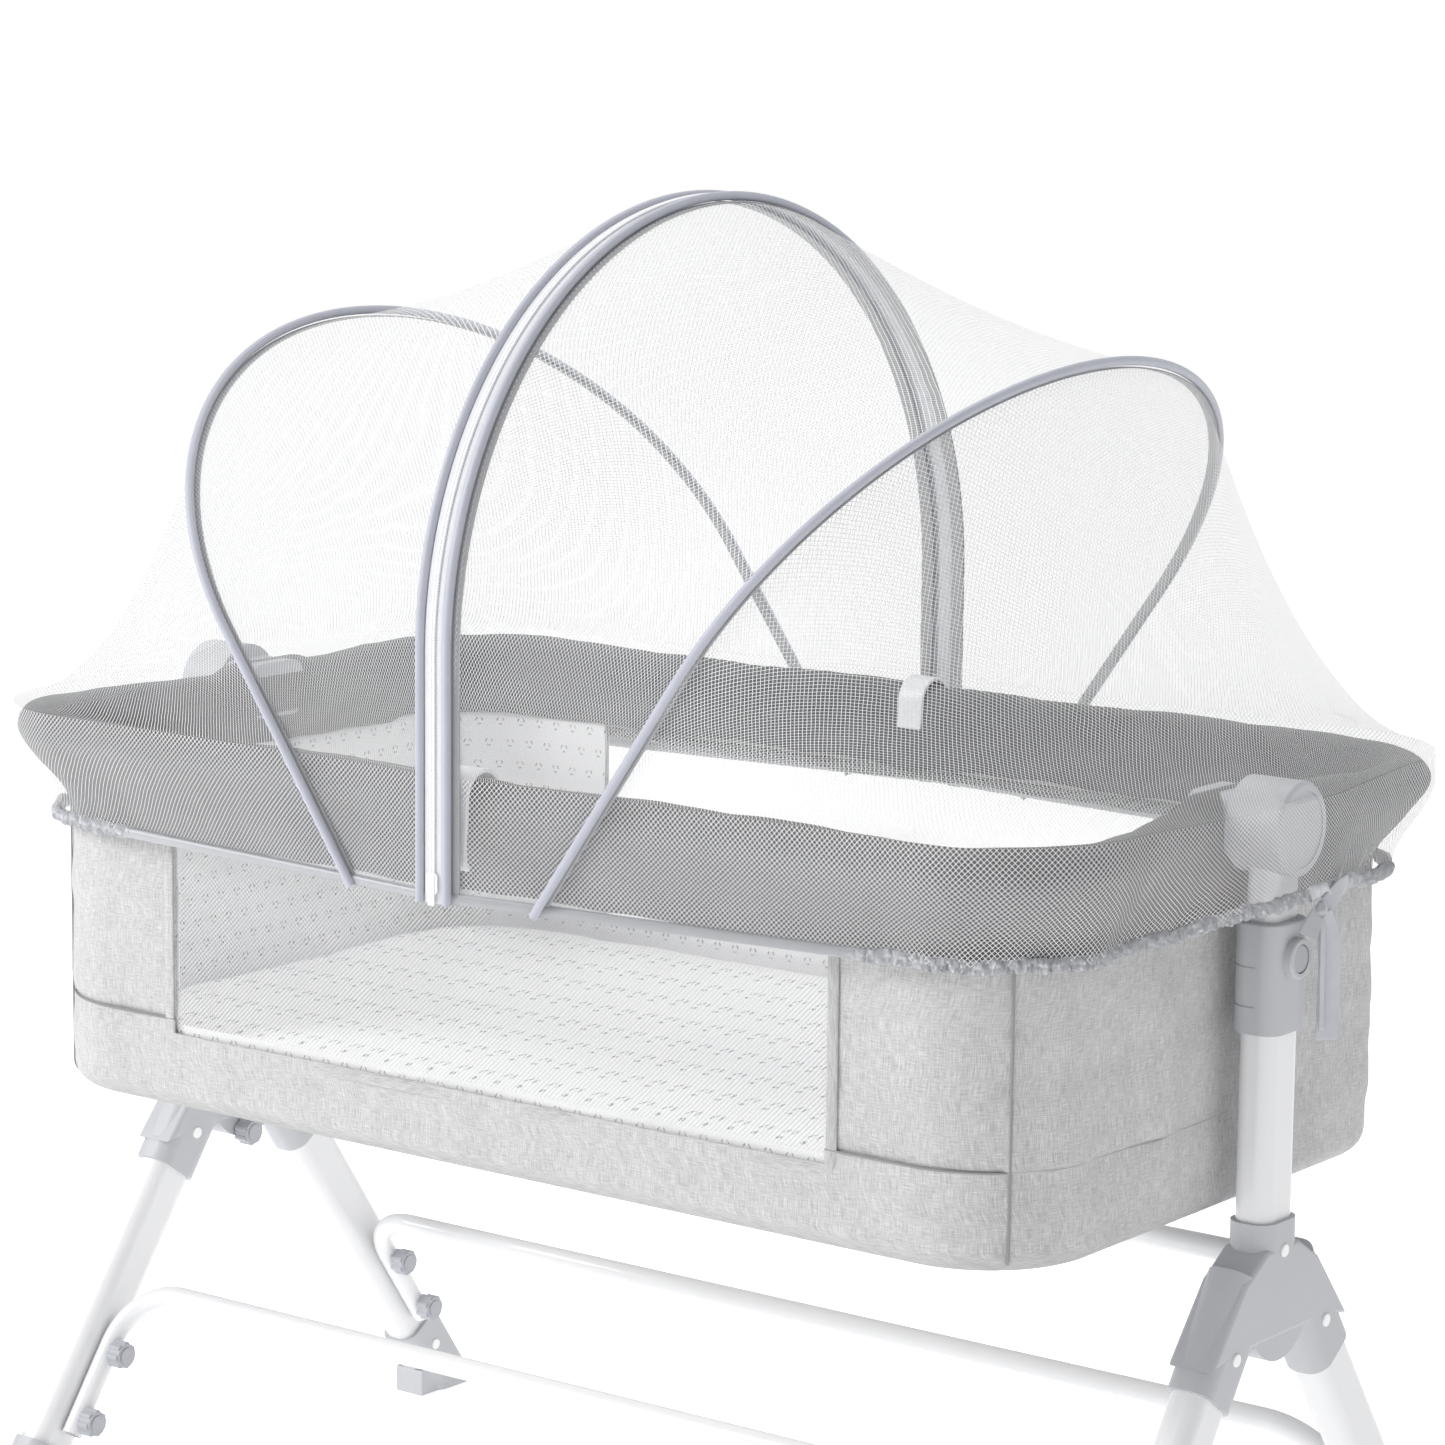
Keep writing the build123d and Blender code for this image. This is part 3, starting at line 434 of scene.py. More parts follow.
def moulded(name, colour, roughness=0.42, grain=0.00006):
    """Moulded plastic: fine grain, a faint cloudiness and slightly uneven gloss."""
    f = Finish(name, IOR=1.46)
    at = f.place()
    fine = f.noise(at, 1400.0, 3.0, 0.6)
    cloud = f.noise(at, 14.0, 3.0, 0.5)
    light = tuple(min(1.0, c * 1.06) for c in colour)
    dark = tuple(c * 0.94 for c in colour)
    f.bump(fine, grain * 0.35)
    uneven = cloud * 0.08 + (roughness - 0.09)
    return f.set(Base_Color=f.mix(cloud, dark, light), Roughness=fine * 0.10 + uneven)


def powder_coat(name, colour):
    """White powder coat on a tube: smooth gloss with a faint orange peel, a little darker and warmer towards
    the floor.
    """
    f = Finish(name, IOR=1.5, Coat_Weight=0.35, Coat_Roughness=0.12)
    at = f.place()
    peel = f.noise(at, 260.0, 1.0, 0.4)
    cloud = f.noise(at, 9.0, 2.0, 0.5)
    height = f.split(at)[2]
    low = 1.0 - height.smooth(0.0, 0.25)
    f.bump(peel, 0.000003)
    tone = f.mix(cloud, tuple(c * 0.985 for c in colour), colour)
    tone = f.mix(low * 0.12, tone, (0.80, 0.79, 0.77))
    return f.set(Base_Color=tone, Roughness=cloud * 0.06 + 0.27)


def satin_piping(name, colour):
    """Satin bias tape round a hoop: fine cross threads, a sheen, and long faint streaks."""
    f = Finish(name, Sheen_Weight=0.35, Sheen_Roughness=0.35, IOR=1.45)
    at = f.place()
    threads = f.noise(f.scaled(at, 1.0, 1.0, 1.0), 2600.0, 2.0, 0.6)
    streak = f.noise(at, 60.0, 3.0, 0.5)
    f.bump(threads, 0.00012)
    tone = f.mix(streak, tuple(c * 0.93 for c in colour), tuple(min(1, c * 1.05) for c in colour))
    return f.set(Base_Color=tone, Roughness=streak * 0.15 + 0.32)


def linen():
    """Heathered linen: slubby light and dark threads both ways, over a fine plain weave."""
    f = Finish("linen", Sheen_Weight=0.15, Sheen_Roughness=0.5, IOR=1.4)
    at = f.cloth()
    u, v, _ = f.split(at)
    pitch = 2 * math.pi / 0.0009
    weave = (u * pitch).sine() * (v * pitch).sine()
    upright = f.noise(f.scaled(at, 1500.0, 90.0, 1.0), 1.0, 3.0, 0.6)
    level = f.noise(f.scaled(at, 110.0, 1500.0, 1.0), 1.0, 3.0, 0.6)
    broad = f.noise(f.scaled(at, 70.0, 18.0, 1.0), 1.0, 2.0, 0.5)
    slub = (upright * 0.65 + level * 0.5 + broad * 0.12 - 0.13).clip()
    tone = f.mix(slub.smooth(0.20, 0.84), (0.36, 0.36, 0.365), (0.80, 0.80, 0.80))
    f.bump(weave * 0.35 + slub * 1.2, 0.00022)
    return f.set(Base_Color=tone, Roughness=slub * 0.1 + 0.82)


def rail_cloth():
    """Dark grey basket weave of the rail cover."""
    f = Finish("rail_cloth", Sheen_Weight=0.2, Sheen_Roughness=0.5, IOR=1.4)
    at = f.cloth()
    u, v, _ = f.split(at)
    pitch = 2 * math.pi / 0.0024
    weave = (u * pitch).sine() * (v * pitch).sine()
    fibre = f.noise(f.scaled(at, 900.0, 900.0, 1.0), 1.0, 2.0, 0.6)
    cloud = f.noise(at, 24.0, 3.0, 0.5)
    share = (weave * 0.25 + fibre * 0.5 + cloud * 0.35).clip()
    tone = f.mix(share, (0.08, 0.082, 0.086), (0.255, 0.26, 0.27))
    f.bump(weave * 0.5 + fibre * 0.5, 0.0004)
    return f.set(Base_Color=tone, Roughness=cloud * 0.1 + 0.80)


def net_cloth(name, pitch, share, colour=(0.93, 0.935, 0.945)):
    """See-through net: two sets of threads crossing on the bias, open between them."""
    # The emission is a painted glow: it lifts the threads a little above how bright the lamps make them,
    # standing in for light passing through the cloth.
    f = Finish(name, Roughness=0.55, Sheen_Weight=0.3, IOR=1.4, Emission_Color=(1, 1, 1, 1),
               Emission_Strength=0.06)
    at = f.cloth()
    u, v, _ = f.split(at)
    loose = f.noise(at, 45.0, 1.0, 0.4) * 0.0016
    u = u + loose
    along = ((u + v) * (1 / (pitch * math.sqrt(2)))).fract()
    over = ((u - v) * (1 / (pitch * math.sqrt(2)))).fract()
    edge = share * 0.35
    first = 1.0 - (along - 0.5).abs().smooth(share / 2 - edge / 2, share / 2 + edge / 2)
    second = 1.0 - (over - 0.5).abs().smooth(share / 2 - edge / 2, share / 2 + edge / 2)
    mask = 1.0 - (1.0 - first) * (1.0 - second)
    uneven = f.noise(at, 40.0, 2.0, 0.5)
    f.bump(mask, 0.0002)
    tone = f.mix(uneven, tuple(c * 0.96 for c in colour), colour)
    return f.set(Base_Color=tone, Alpha=mask * 0.93 + 0.015)


def printed_cloth(name, pitch, ring, ink, stretch=1.0, base=(0.93, 0.93, 0.935)):
    """White cloth with rows of a small broken ring, each row moved half a pitch, and a fine knit. The rows
    and rings are stretched across the cloth by a number."""
    f = Finish(name, Sheen_Weight=0.15, IOR=1.4)
    at = f.cloth()
    u, v, _ = f.split(at)
    v = v * (1 / stretch)
    row = (v * (1 / pitch)).floor()
    shift = (row * 0.5).fract()
    x = ((u * (1 / pitch) + shift).fract() - 0.5) * pitch
    y = ((v * (1 / pitch)).fract() - 0.5) * pitch
    r = (x * x + y * y).math("SQRT")
    angle = y.math("ARCTAN2", x)
    band = 1.0 - (r - ring).abs().smooth(ring * 0.16, ring * 0.34)
    dashes = (angle * 3.0).sine().smooth(-0.35, 0.15)
    motif = band * dashes
    knit = f.noise(f.scaled(at, 1500.0, 1500.0, 1.0), 1.0, 2.0, 0.5)
    tone = f.mix(motif * 0.9, base, ink)
    f.bump(knit + motif * 0.4, 0.00015)
    return f.set(Base_Color=tone, Roughness=knit * 0.1 + 0.8)


def ribbon_cloth(name, colour):
    """Satin ribbon: fine cross ribs and a soft sheen."""
    f = Finish(name, Sheen_Weight=0.3, Sheen_Roughness=0.35, IOR=1.45)
    at = f.cloth()
    u, _, _ = f.split(at)
    ribs = (u * (2 * math.pi / 0.0007)).sine()
    cloud = f.noise(at, 90.0, 3.0, 0.5)
    f.bump(ribs * 0.5 + cloud, 0.00015)
    tone = f.mix(cloud, tuple(c * 0.90 for c in colour), tuple(min(1, c * 1.06) for c in colour))
    return f.set(Base_Color=tone, Roughness=cloud * 0.15 + 0.38)


def bright_steel():
    """Drawn spring wire: bright metal with fine scratches along X."""
    f = Finish("bright_steel", Metallic=1.0)
    scratch = f.noise(f.scaled(f.place(), 40.0, 900.0, 900.0), 1.0, 2.0, 0.5)
    f.bump(scratch, 0.00003)
    tone = f.mix(scratch, (0.50, 0.50, 0.51), (0.66, 0.66, 0.67))
    return f.set(Base_Color=tone, Roughness=scratch * 0.2 + 0.2)


grey_plastic = moulded("grey_plastic", (0.50, 0.51, 0.535))
knob_plastic = moulded("knob_plastic", (0.44, 0.45, 0.49), 0.46)
button_plastic = moulded("button_plastic", (0.42, 0.43, 0.46), 0.30, 0.00003)
white_plastic = moulded("white_plastic", (0.86, 0.865, 0.885), 0.34)
board_plastic = moulded("board_plastic", (0.80, 0.79, 0.77), 0.6)
white_coat = powder_coat("white_coat", (0.80, 0.805, 0.82))
rivet_coat = powder_coat("rivet_coat", (0.93, 0.93, 0.94))
piping_satin = satin_piping("piping_satin", (0.49, 0.505, 0.575))
steel = bright_steel()

CAD_FINISH = {
    "bracket_": grey_plastic, "height_sleeve_": grey_plastic, "foot_": grey_plastic, "hub_": grey_plastic,
    "bracket_knobs": knob_plastic, "crossbar_knobs": knob_plastic, "pivot_block_": knob_plastic,
    "bracket_rivets": rivet_coat, "foot_rivets": rivet_coat, "height_button_": button_plastic,
    "button_spring_": steel, "pivot_axle_": steel, "leg_": white_coat, "post_tube_": white_coat,
    "inner_tube_": white_coat, "crossbar_": white_coat, "rail_near": white_coat, "rail_far": white_coat,
    "base_board": board_plastic, "centre_hoop_": piping_satin, "side_hoop_": piping_satin,
    "zip_slider": white_plastic}


def finish_cad():
    """Give each carried-over node its finish: the longest matching name wins."""
    for name, node in nodes.items():
        match = [key for key in CAD_FINISH if name.startswith(key)]
        if match:
            material = CAD_FINISH[max(match, key=len)]
            for slot in node.material_slots:
                slot.material = material


def settle(piece, slot, *replaced, material=None):
    """The piece rides on the cradle, takes a finish and stands for CAD nodes."""
    if material is not None:
        piece.data.materials.append(material)
    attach(piece, "cradle")
    if replaced:
        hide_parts(*replaced)
    return piece


# ------------------------------------------------------------------ basket

def levels_between(low, high, step):
    return np.linspace(low, high, max(2, int(round((high - low) / step)) + 1))


def basket():
    """Linen bag: wall_plan stacked in rings. A quarter circle turns the floor into the wall, the band stands
    a little proud on the long sides, and shallow waves make the cloth lie softly. Windows are left out."""
    bottom = shell_low.z
    edge = 0.014
    turn = np.linspace(0, math.pi / 2, 7)
    floor_rows = [(-edge - 0.05, bottom + 0.0005), (-edge - 0.01, bottom)]
    turn_rows = [(edge * (math.sin(a) - 1), bottom + edge * (1 - math.cos(a))) for a in turn]
    band = [(0, z) for z in levels_between(bottom + edge + 0.006, window_low.z - 0.0005, 0.006)]
    seam = [(0, window_low.z), (0, BAND_TOP - 0.0015), (-0.0003, BAND_TOP - 0.0004),
            (-BAND_PROUD - 0.0012, BAND_TOP + 0.0002), (-BAND_PROUD - 0.0003, BAND_TOP + 0.0012)]
    wall = [(-BAND_PROUD, z) for z in levels_between(BAND_TOP + 0.006, window_high.z, 0.0075)]
    top = [(-BAND_PROUD, window_high.z + 0.006), (-BAND_PROUD, shell_high.z)]
    rows = floor_rows + turn_rows + band + seam + wall + top
    rings = []
    for out, z in rows:
        ring = raise_plan(wall_plan(BAND_PROUD), z)
        along = unit(np.roll(ring, -1, 0) - np.roll(ring, 1, 0))
        outward = np.stack([along[:, 1], -along[:, 0], np.zeros(len(ring))], -1)
        if z > window_low.z - 0.001:
            ring = ring + outward * (out * (1 - past_seam(ring)))[:, None]
        else:
            ring = raise_plan(wall_plan(BAND_PROUD + out), z)
        run = lengths(ring, 0)
        along = unit(np.roll(ring, -1, 0) - np.roll(ring, 1, 0))
        outward = np.stack([along[:, 1], -along[:, 0], np.zeros(len(ring))], -1)
        lift = smoothstep(bottom + 0.004, bottom + 0.04, np.full(len(ring), z))
        free = smoothstep(0, 0.02, np.abs(np.abs(ring[:, 0]) - window_high.x))
        soft = ripple(run * 0.9 + z * 0.35, 3, 4, 3.0) * 0.0011
        soft = soft + ripple(run * 0.3 - z * 4.0, 5, 3, 4.0) * 0.0006
        soft = soft + past_seam(ring) * ripple(run + z * 0.10, 7, 3, 6.5) * 0.0024 * (
            smoothstep(0.345, 0.42, z) * (1 - smoothstep(0.48, 0.525, z)))
        seams = corner_seam(ring)
        soft = soft * (1 - 0.8 * smoothstep(0.50, 0.53, z))
        rings.append(ring + outward * ((soft * lift * free) - seams * 0.0009)[:, None])
    points = np.stack(rings)
    x, y, z = (points[:-1, :, k] for k in range(3))
    side = (np.abs(y) > basket_y - 0.02) & (np.abs(x + np.roll(x, -1, 1)) / 2 < window_high.x)
    middle = (z + points[1:, :, 2]) / 2
    hole = side & (middle > window_low.z) & (middle < window_high.z)
    piece = grid_piece("basket_cloth", points, flat_uv(points), close_columns=True, skip=hole)
    thicken(piece, 0.0016, -1.0)
    settle(piece, "linen_fabric", "basket_shell", material=linen_cloth)
    return piece


def past_seam(ring):
    """1 on the end side of each corner's middle, 0 on the long sides."""
    dx = np.abs(ring[:, 0]) - (basket_x - CORNER)
    dy = np.abs(ring[:, 1]) - (basket_y - CORNER)
    return (dx > np.maximum(dy, 0)) * 1.0


def corner_seams():
    """A narrow sewn line up the middle of each corner, and one along the band on each long side."""
    reach = CORNER * math.sqrt(0.5)
    for k, (sx, sy) in enumerate(((1, 1), (-1, 1), (-1, -1), (1, -1))):
        z = np.linspace(shell_low.z + 0.006, shell_high.z - 0.006, 160)
        edge = 0.014
        tuck = edge - np.sqrt(edge ** 2 - np.clip(edge - (z - shell_low.z), 0, edge) ** 2)
        out = reach + (BAND_PROUD + 0.0007 - tuck) * math.sqrt(0.5)
        path = np.stack([sx * (basket_x - CORNER + out), sy * (basket_y - CORNER + out), z], -1)
        facing = np.tile(unit(np.array([sx, sy, 0.0])), (len(z), 1))
        strip("seam_corner_%d" % k, path, facing, 0.0009, 0.0012, seam_thread)
        side_plan = wall_plan(0.0008)
        quarter = side_plan[sum(SPANS[:3]) + SPANS[3] // 2: sum(SPANS[:5]) + 1] * (sx, sy)
        line = resample(raise_plan(quarter, BAND_TOP - 0.0002), 220)
        along = tangents(line)
        facing = np.stack([along[:, 1], -along[:, 0], np.zeros(len(line))], -1)
        facing = facing * np.sign(np.sum(facing * line * (1, 1, 0), -1, keepdims=True))
        strip("seam_band_%d" % k, line, facing, 0.0006, 0.0012, seam_thread)


def corner_seam(ring):
    """1 in the narrow sewn line at the middle of each corner, 0 elsewhere."""
    dx = np.abs(ring[:, 0]) - (basket_x - CORNER)
    dy = np.abs(ring[:, 1]) - (basket_y - CORNER)
    away = np.abs(np.arctan2(dy, dx) - math.pi / 4) * CORNER
    inside = (dx > 0) & (dy > 0)
    return np.where(inside, np.exp(-(away / 0.0012) ** 2), 0.0)


def flip(piece):
    """Turn every face over."""
    piece.data.flip_normals()


def strip(name, path, out, half, height, material, power=3.0, count=10, closed=False):
    """Flat tape on a surface: a squarish oval, twice half wide and height thick, carried along a path whose
    outward direction is given."""
    along = tangents(path, closed)
    across = unit(np.cross(along, out))
    profile = oval(2 * half, height, count, power)
    points = path[:, None] + profile[None, :, :1] * across[:, None] + profile[None, :, 1:] * out[:, None]
    piece = grid_piece(name, points, flat_uv(points), close_rows=closed, close_columns=True)
    if not closed:
        cap_ends(piece, len(path), count)
    orient(piece)
    piece.data.materials.append(material)
    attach(piece, "cradle")
    return piece


def cap_ends(piece, rows, columns):
    """Close both open ends of a swept piece."""
    import bmesh
    soup = bmesh.new()
    soup.from_mesh(piece.data)
    soup.verts.ensure_lookup_table()
    soup.faces.new([soup.verts[k] for k in range(columns)])
    soup.faces.new([soup.verts[(rows - 1) * columns + k] for k in reversed(range(columns))])
    soup.to_mesh(piece.data)
    soup.free()


def orient(piece):
    """Make the faces of a closed piece point outwards."""
    import bmesh
    soup = bmesh.new()
    soup.from_mesh(piece.data)
    bmesh.ops.recalc_face_normals(soup, faces=soup.faces)
    soup.to_mesh(piece.data)
    soup.free()


def window(side):
    """Mesh window: a slightly bellied panel, and a sewn border of doubled linen round three sides."""
    name = "far" if side > 0 else "near"
    x = np.linspace(-window_high.x, window_high.x, 73)
    z = np.linspace(window_low.z, window_high.z, 25)
    zz, xx = np.meshgrid(z, x, indexing="ij")
    rise = (zz - window_low.z) / (window_high.z - window_low.z)
    belly = np.cos(xx / window_high.x * math.pi / 2) * np.sin(rise * math.pi) * 0.003
    points = np.stack([xx, side * (basket_y - 0.0009 - belly), zz], -1)
    piece = grid_piece("window_" + name, points, flat_uv(points))
    if side > 0:
        flip(piece)
    settle(piece, "window_mesh", "mesh_window_" + name, material=window_net)
    inset = 0.0045
    left, right = -window_high.x - inset, window_high.x + inset
    low = window_low.z - inset
    corner = 0.006
    upright = np.linspace(window_high.z - 0.01, low + corner, 12)
    outline = [(left, window_high.z)] + [(left, z0) for z0 in upright]
    outline += [(left + corner * 0.3, low + corner * 0.3)]
    outline += [(x0, low) for x0 in np.linspace(left + corner, right - corner, 40)]
    outline += [(right - corner * 0.3, low + corner * 0.3)]
    outline += [(right, z0) for z0 in upright[::-1]] + [(right, window_high.z)]
    flat = resample(np.array(outline), 420)
    path = np.stack([flat[:, 0], np.full(420, side * (basket_y + 0.0005)), flat[:, 1]], -1)
    out = np.tile([0.0, side, 0.0], (420, 1))
    strip("window_border_" + name, path, out, 0.0042, 0.0016, linen_cloth)
    stitches("window_stitches_" + name, path, out, 0.0008, 0.0026)


def stitches(name, path, out, lift, pitch, material=None, reach=0.62, radius=0.00028):
    """Row of short thread stitches along a path: each is a small six-sided rod, rounded at its ends."""
    run = lengths(path, 0)
    count = int(run[-1] / pitch)
    starts = np.arange(count) * pitch + pitch * (1 - reach) / 2
    u = np.linspace(0, 1, 5)
    at = starts[:, None] + u[None] * pitch * reach
    centre = np.stack([np.interp(at, run, path[:, k]) for k in range(3)], -1)
    lifted = np.stack([np.interp(at, run, out[:, k]) for k in range(3)], -1)
    centre = centre + lifted * lift
    along = unit(centre[:, -1:] - centre[:, :1])
    across = unit(np.cross(along, lifted))
    up = np.cross(across, along)
    fat = radius * np.sqrt(np.clip(1 - (2 * u - 1) ** 4, 0.05, 1))[None, :, None, None]
    a = np.linspace(0, 2 * math.pi, 6, endpoint=False)[None, None, :, None]
    ring = centre[:, :, None] + fat * (np.cos(a) * across[:, :, None] + np.sin(a) * up[:, :, None])
    verts = ring.reshape(-1, 3)
    rows, columns = 5, 6
    r, c = np.meshgrid(np.arange(rows - 1), np.arange(columns), indexing="ij")
    quad = np.stack([r * columns + c, r * columns + (c + 1) % columns, (r + 1) * columns + (c + 1) % columns,
                     (r + 1) * columns + c], -1).reshape(-1, 4)
    offset = (np.arange(count) * rows * columns)[:, None, None]
    faces = (quad[None] + offset).reshape(-1, 4).tolist()
    caps = [list(range(columns))[::-1], list(range((rows - 1) * columns, rows * columns))]
    faces += [[k + i * rows * columns for k in cap] for i in range(count) for cap in caps]
    mesh = bpy.data.meshes.new(name)
    mesh.from_pydata(verts.tolist(), [], faces)
    mesh.update()
    piece = bpy.data.objects.new(name, mesh)
    bpy.context.scene.collection.objects.link(piece)
    orient(piece)
    mesh.materials.append(material or thread)
    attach(piece, "cradle")
    return piece


def liner():
    """White printed lining: rings of the wall plan, just inside the bag, with the windows left out."""
    rows = []
    for z in levels_between(0.352, 0.5515, 0.008):
        ring = raise_plan(wall_plan(-WALL - 0.0006), z)
        run = lengths(ring, 0)
        along = tangents(ring, True)
        outward = np.stack([along[:, 1], -along[:, 0], np.zeros(len(ring))], -1)
        soft = ripple(run * 0.8 + z * 2.0, 8, 3, 4.0) * 0.0010
        rows.append(ring - outward * (0.0010 + soft)[:, None])
    points = np.stack(rows)
    x, y = points[:-1, :, 0], points[:-1, :, 1]
    middle = (x + np.roll(x, -1, 1)) / 2
    side = (np.abs(y) > basket_y - 0.02) & (np.abs(middle) < window_high.x)
    hole = side & (points[:-1, :, 2] > window_low.z)
    piece = grid_piece("liner_cloth", points, flat_uv(points), close_columns=True, skip=hole)
    thicken(piece, 0.0008)
    settle(piece, "liner_cloth", "wall_liner", material=liner_print)


def pad():
    """Mattress: a super-ellipse of power 7 whose top is a little crowned, closed by a flatter underside and
    blown up by cloth pressure. Its height falls off near the edge as the root of the distance."""
    half_x, half_y = bed_high.x - 0.001, bed_high.y - 0.001
    count, rings = 160, 40
    a = np.linspace(0, 2 * math.pi, count, endpoint=False)
    power = 7.0
    cx, sy = np.cos(a), np.sin(a)
    reach = 1 / (np.abs(cx) ** power + np.abs(sy) ** power) ** (1 / power)
    rim = np.stack([cx * reach * half_x, sy * reach * half_y], -1)
    share = np.sin(np.linspace(0, math.pi / 2, rings))
    share[0] = 0.004
    edge = np.clip(1 - share, 0, 1)
    height = np.clip(edge * 14, 0, 1) ** 0.5
    thick = bed_high.z - bed_low.z - 0.004
    middle = bed_low.z + thick / 2 + 0.002
    crown = middle + thick / 2 * (height + 0.05 * (1 - share ** 2))
    top = np.stack([np.concatenate([rim * s, np.full((count, 1), h)], -1) for s, h in zip(share, crown)])
    low = np.stack([np.concatenate([rim * s, np.full((count, 1), middle - thick / 2 * h)], -1)
                    for s, h in zip(share, height)])
    points = np.concatenate([top, low[-2::-1]])
    piece = grid_piece("mattress_pad", points, close_columns=True)
    cap_ends(piece, len(points), count)
    orient(piece)
    inflate(piece, 0.006, 4.0, 0.005)
    uv_from_above(piece)
    settle(piece, "mattress_cloth", "mattress", material=mattress_print)
    return piece


def inflate(piece, voxel, pressure, cap):
    """Remesh a closed piece, blow it up with cloth pressure for 20 frames, and keep each point within a
    cap of where it started."""
    scene = bpy.context.scene
    modifier(piece, "REMESH", mode="VOXEL", voxel_size=voxel)
    apply(piece)
    start = coordinates(piece)
    cloth = modifier(piece, "CLOTH")
    cloth.settings.use_pressure = True
    cloth.settings.uniform_pressure_force = pressure
    cloth.settings.effector_weights.gravity = 0
    cloth.settings.quality = 4
    for number in range(1, 21):
        scene.frame_set(number)
    apply(piece)
    scene.frame_set(1)
    end = coordinates(piece)
    move = end - start
    far = np.maximum(np.linalg.norm(move, axis=1, keepdims=True), 1e-9)
    moved = start + move * np.minimum(1, cap / far)
    moved[:, 2] = np.clip(moved[:, 2], bed_low.z, bed_high.z + 0.003)
    piece.data.vertices.foreach_set("co", moved.reshape(-1).astype(np.float32))
    piece.data.update()
    piece.data.polygons.foreach_set("use_smooth", np.ones(len(piece.data.polygons), bool))


def coordinates(piece):
    co = np.empty(len(piece.data.vertices) * 3, np.float32)
    piece.data.vertices.foreach_get("co", co)
    return co.reshape(-1, 3).astype(float)


def apply(piece):
    """Replace a piece's mesh with what its modifiers make of it."""
    bpy.context.view_layer.update()
    graph = bpy.context.evaluated_depsgraph_get()
    made = bpy.data.meshes.new_from_object(piece.evaluated_get(graph))
    piece.modifiers.clear()
    piece.data = made


def uv_from_above(piece):
    """Cloth coordinates straight from X and Y."""
    mesh = piece.data
    layer = mesh.uv_layers.get("cloth") or mesh.uv_layers.new(name="cloth")
    index = np.empty(len(mesh.loops), np.int32)
    mesh.loops.foreach_get("vertex_index", index)
    co = coordinates(piece)[index]
    layer.data.foreach_set("uv", (co[:, :2] + 1.0).reshape(-1).astype(np.float32))


# ------------------------------------------------------------------ rail cover

FALL_Z = (0.6076, 0.5865, 0.5815, 0.5755, 0.569, 0.5635, 0.5585, 0.554, 0.5495, 0.5455, 0.5415, 0.538, 0.534,
          0.530)
FALL_SHARE = (1.0, 0.999, 0.94, 0.83, 0.70, 0.56, 0.43, 0.31, 0.21, 0.13, 0.07, 0.03, 0.01, 0.0)


def fall_share(z):
    """Share of the way out from the wall to the rail at which the cover hangs, by height."""
    return np.interp(z, FALL_Z[::-1], FALL_SHARE[::-1])


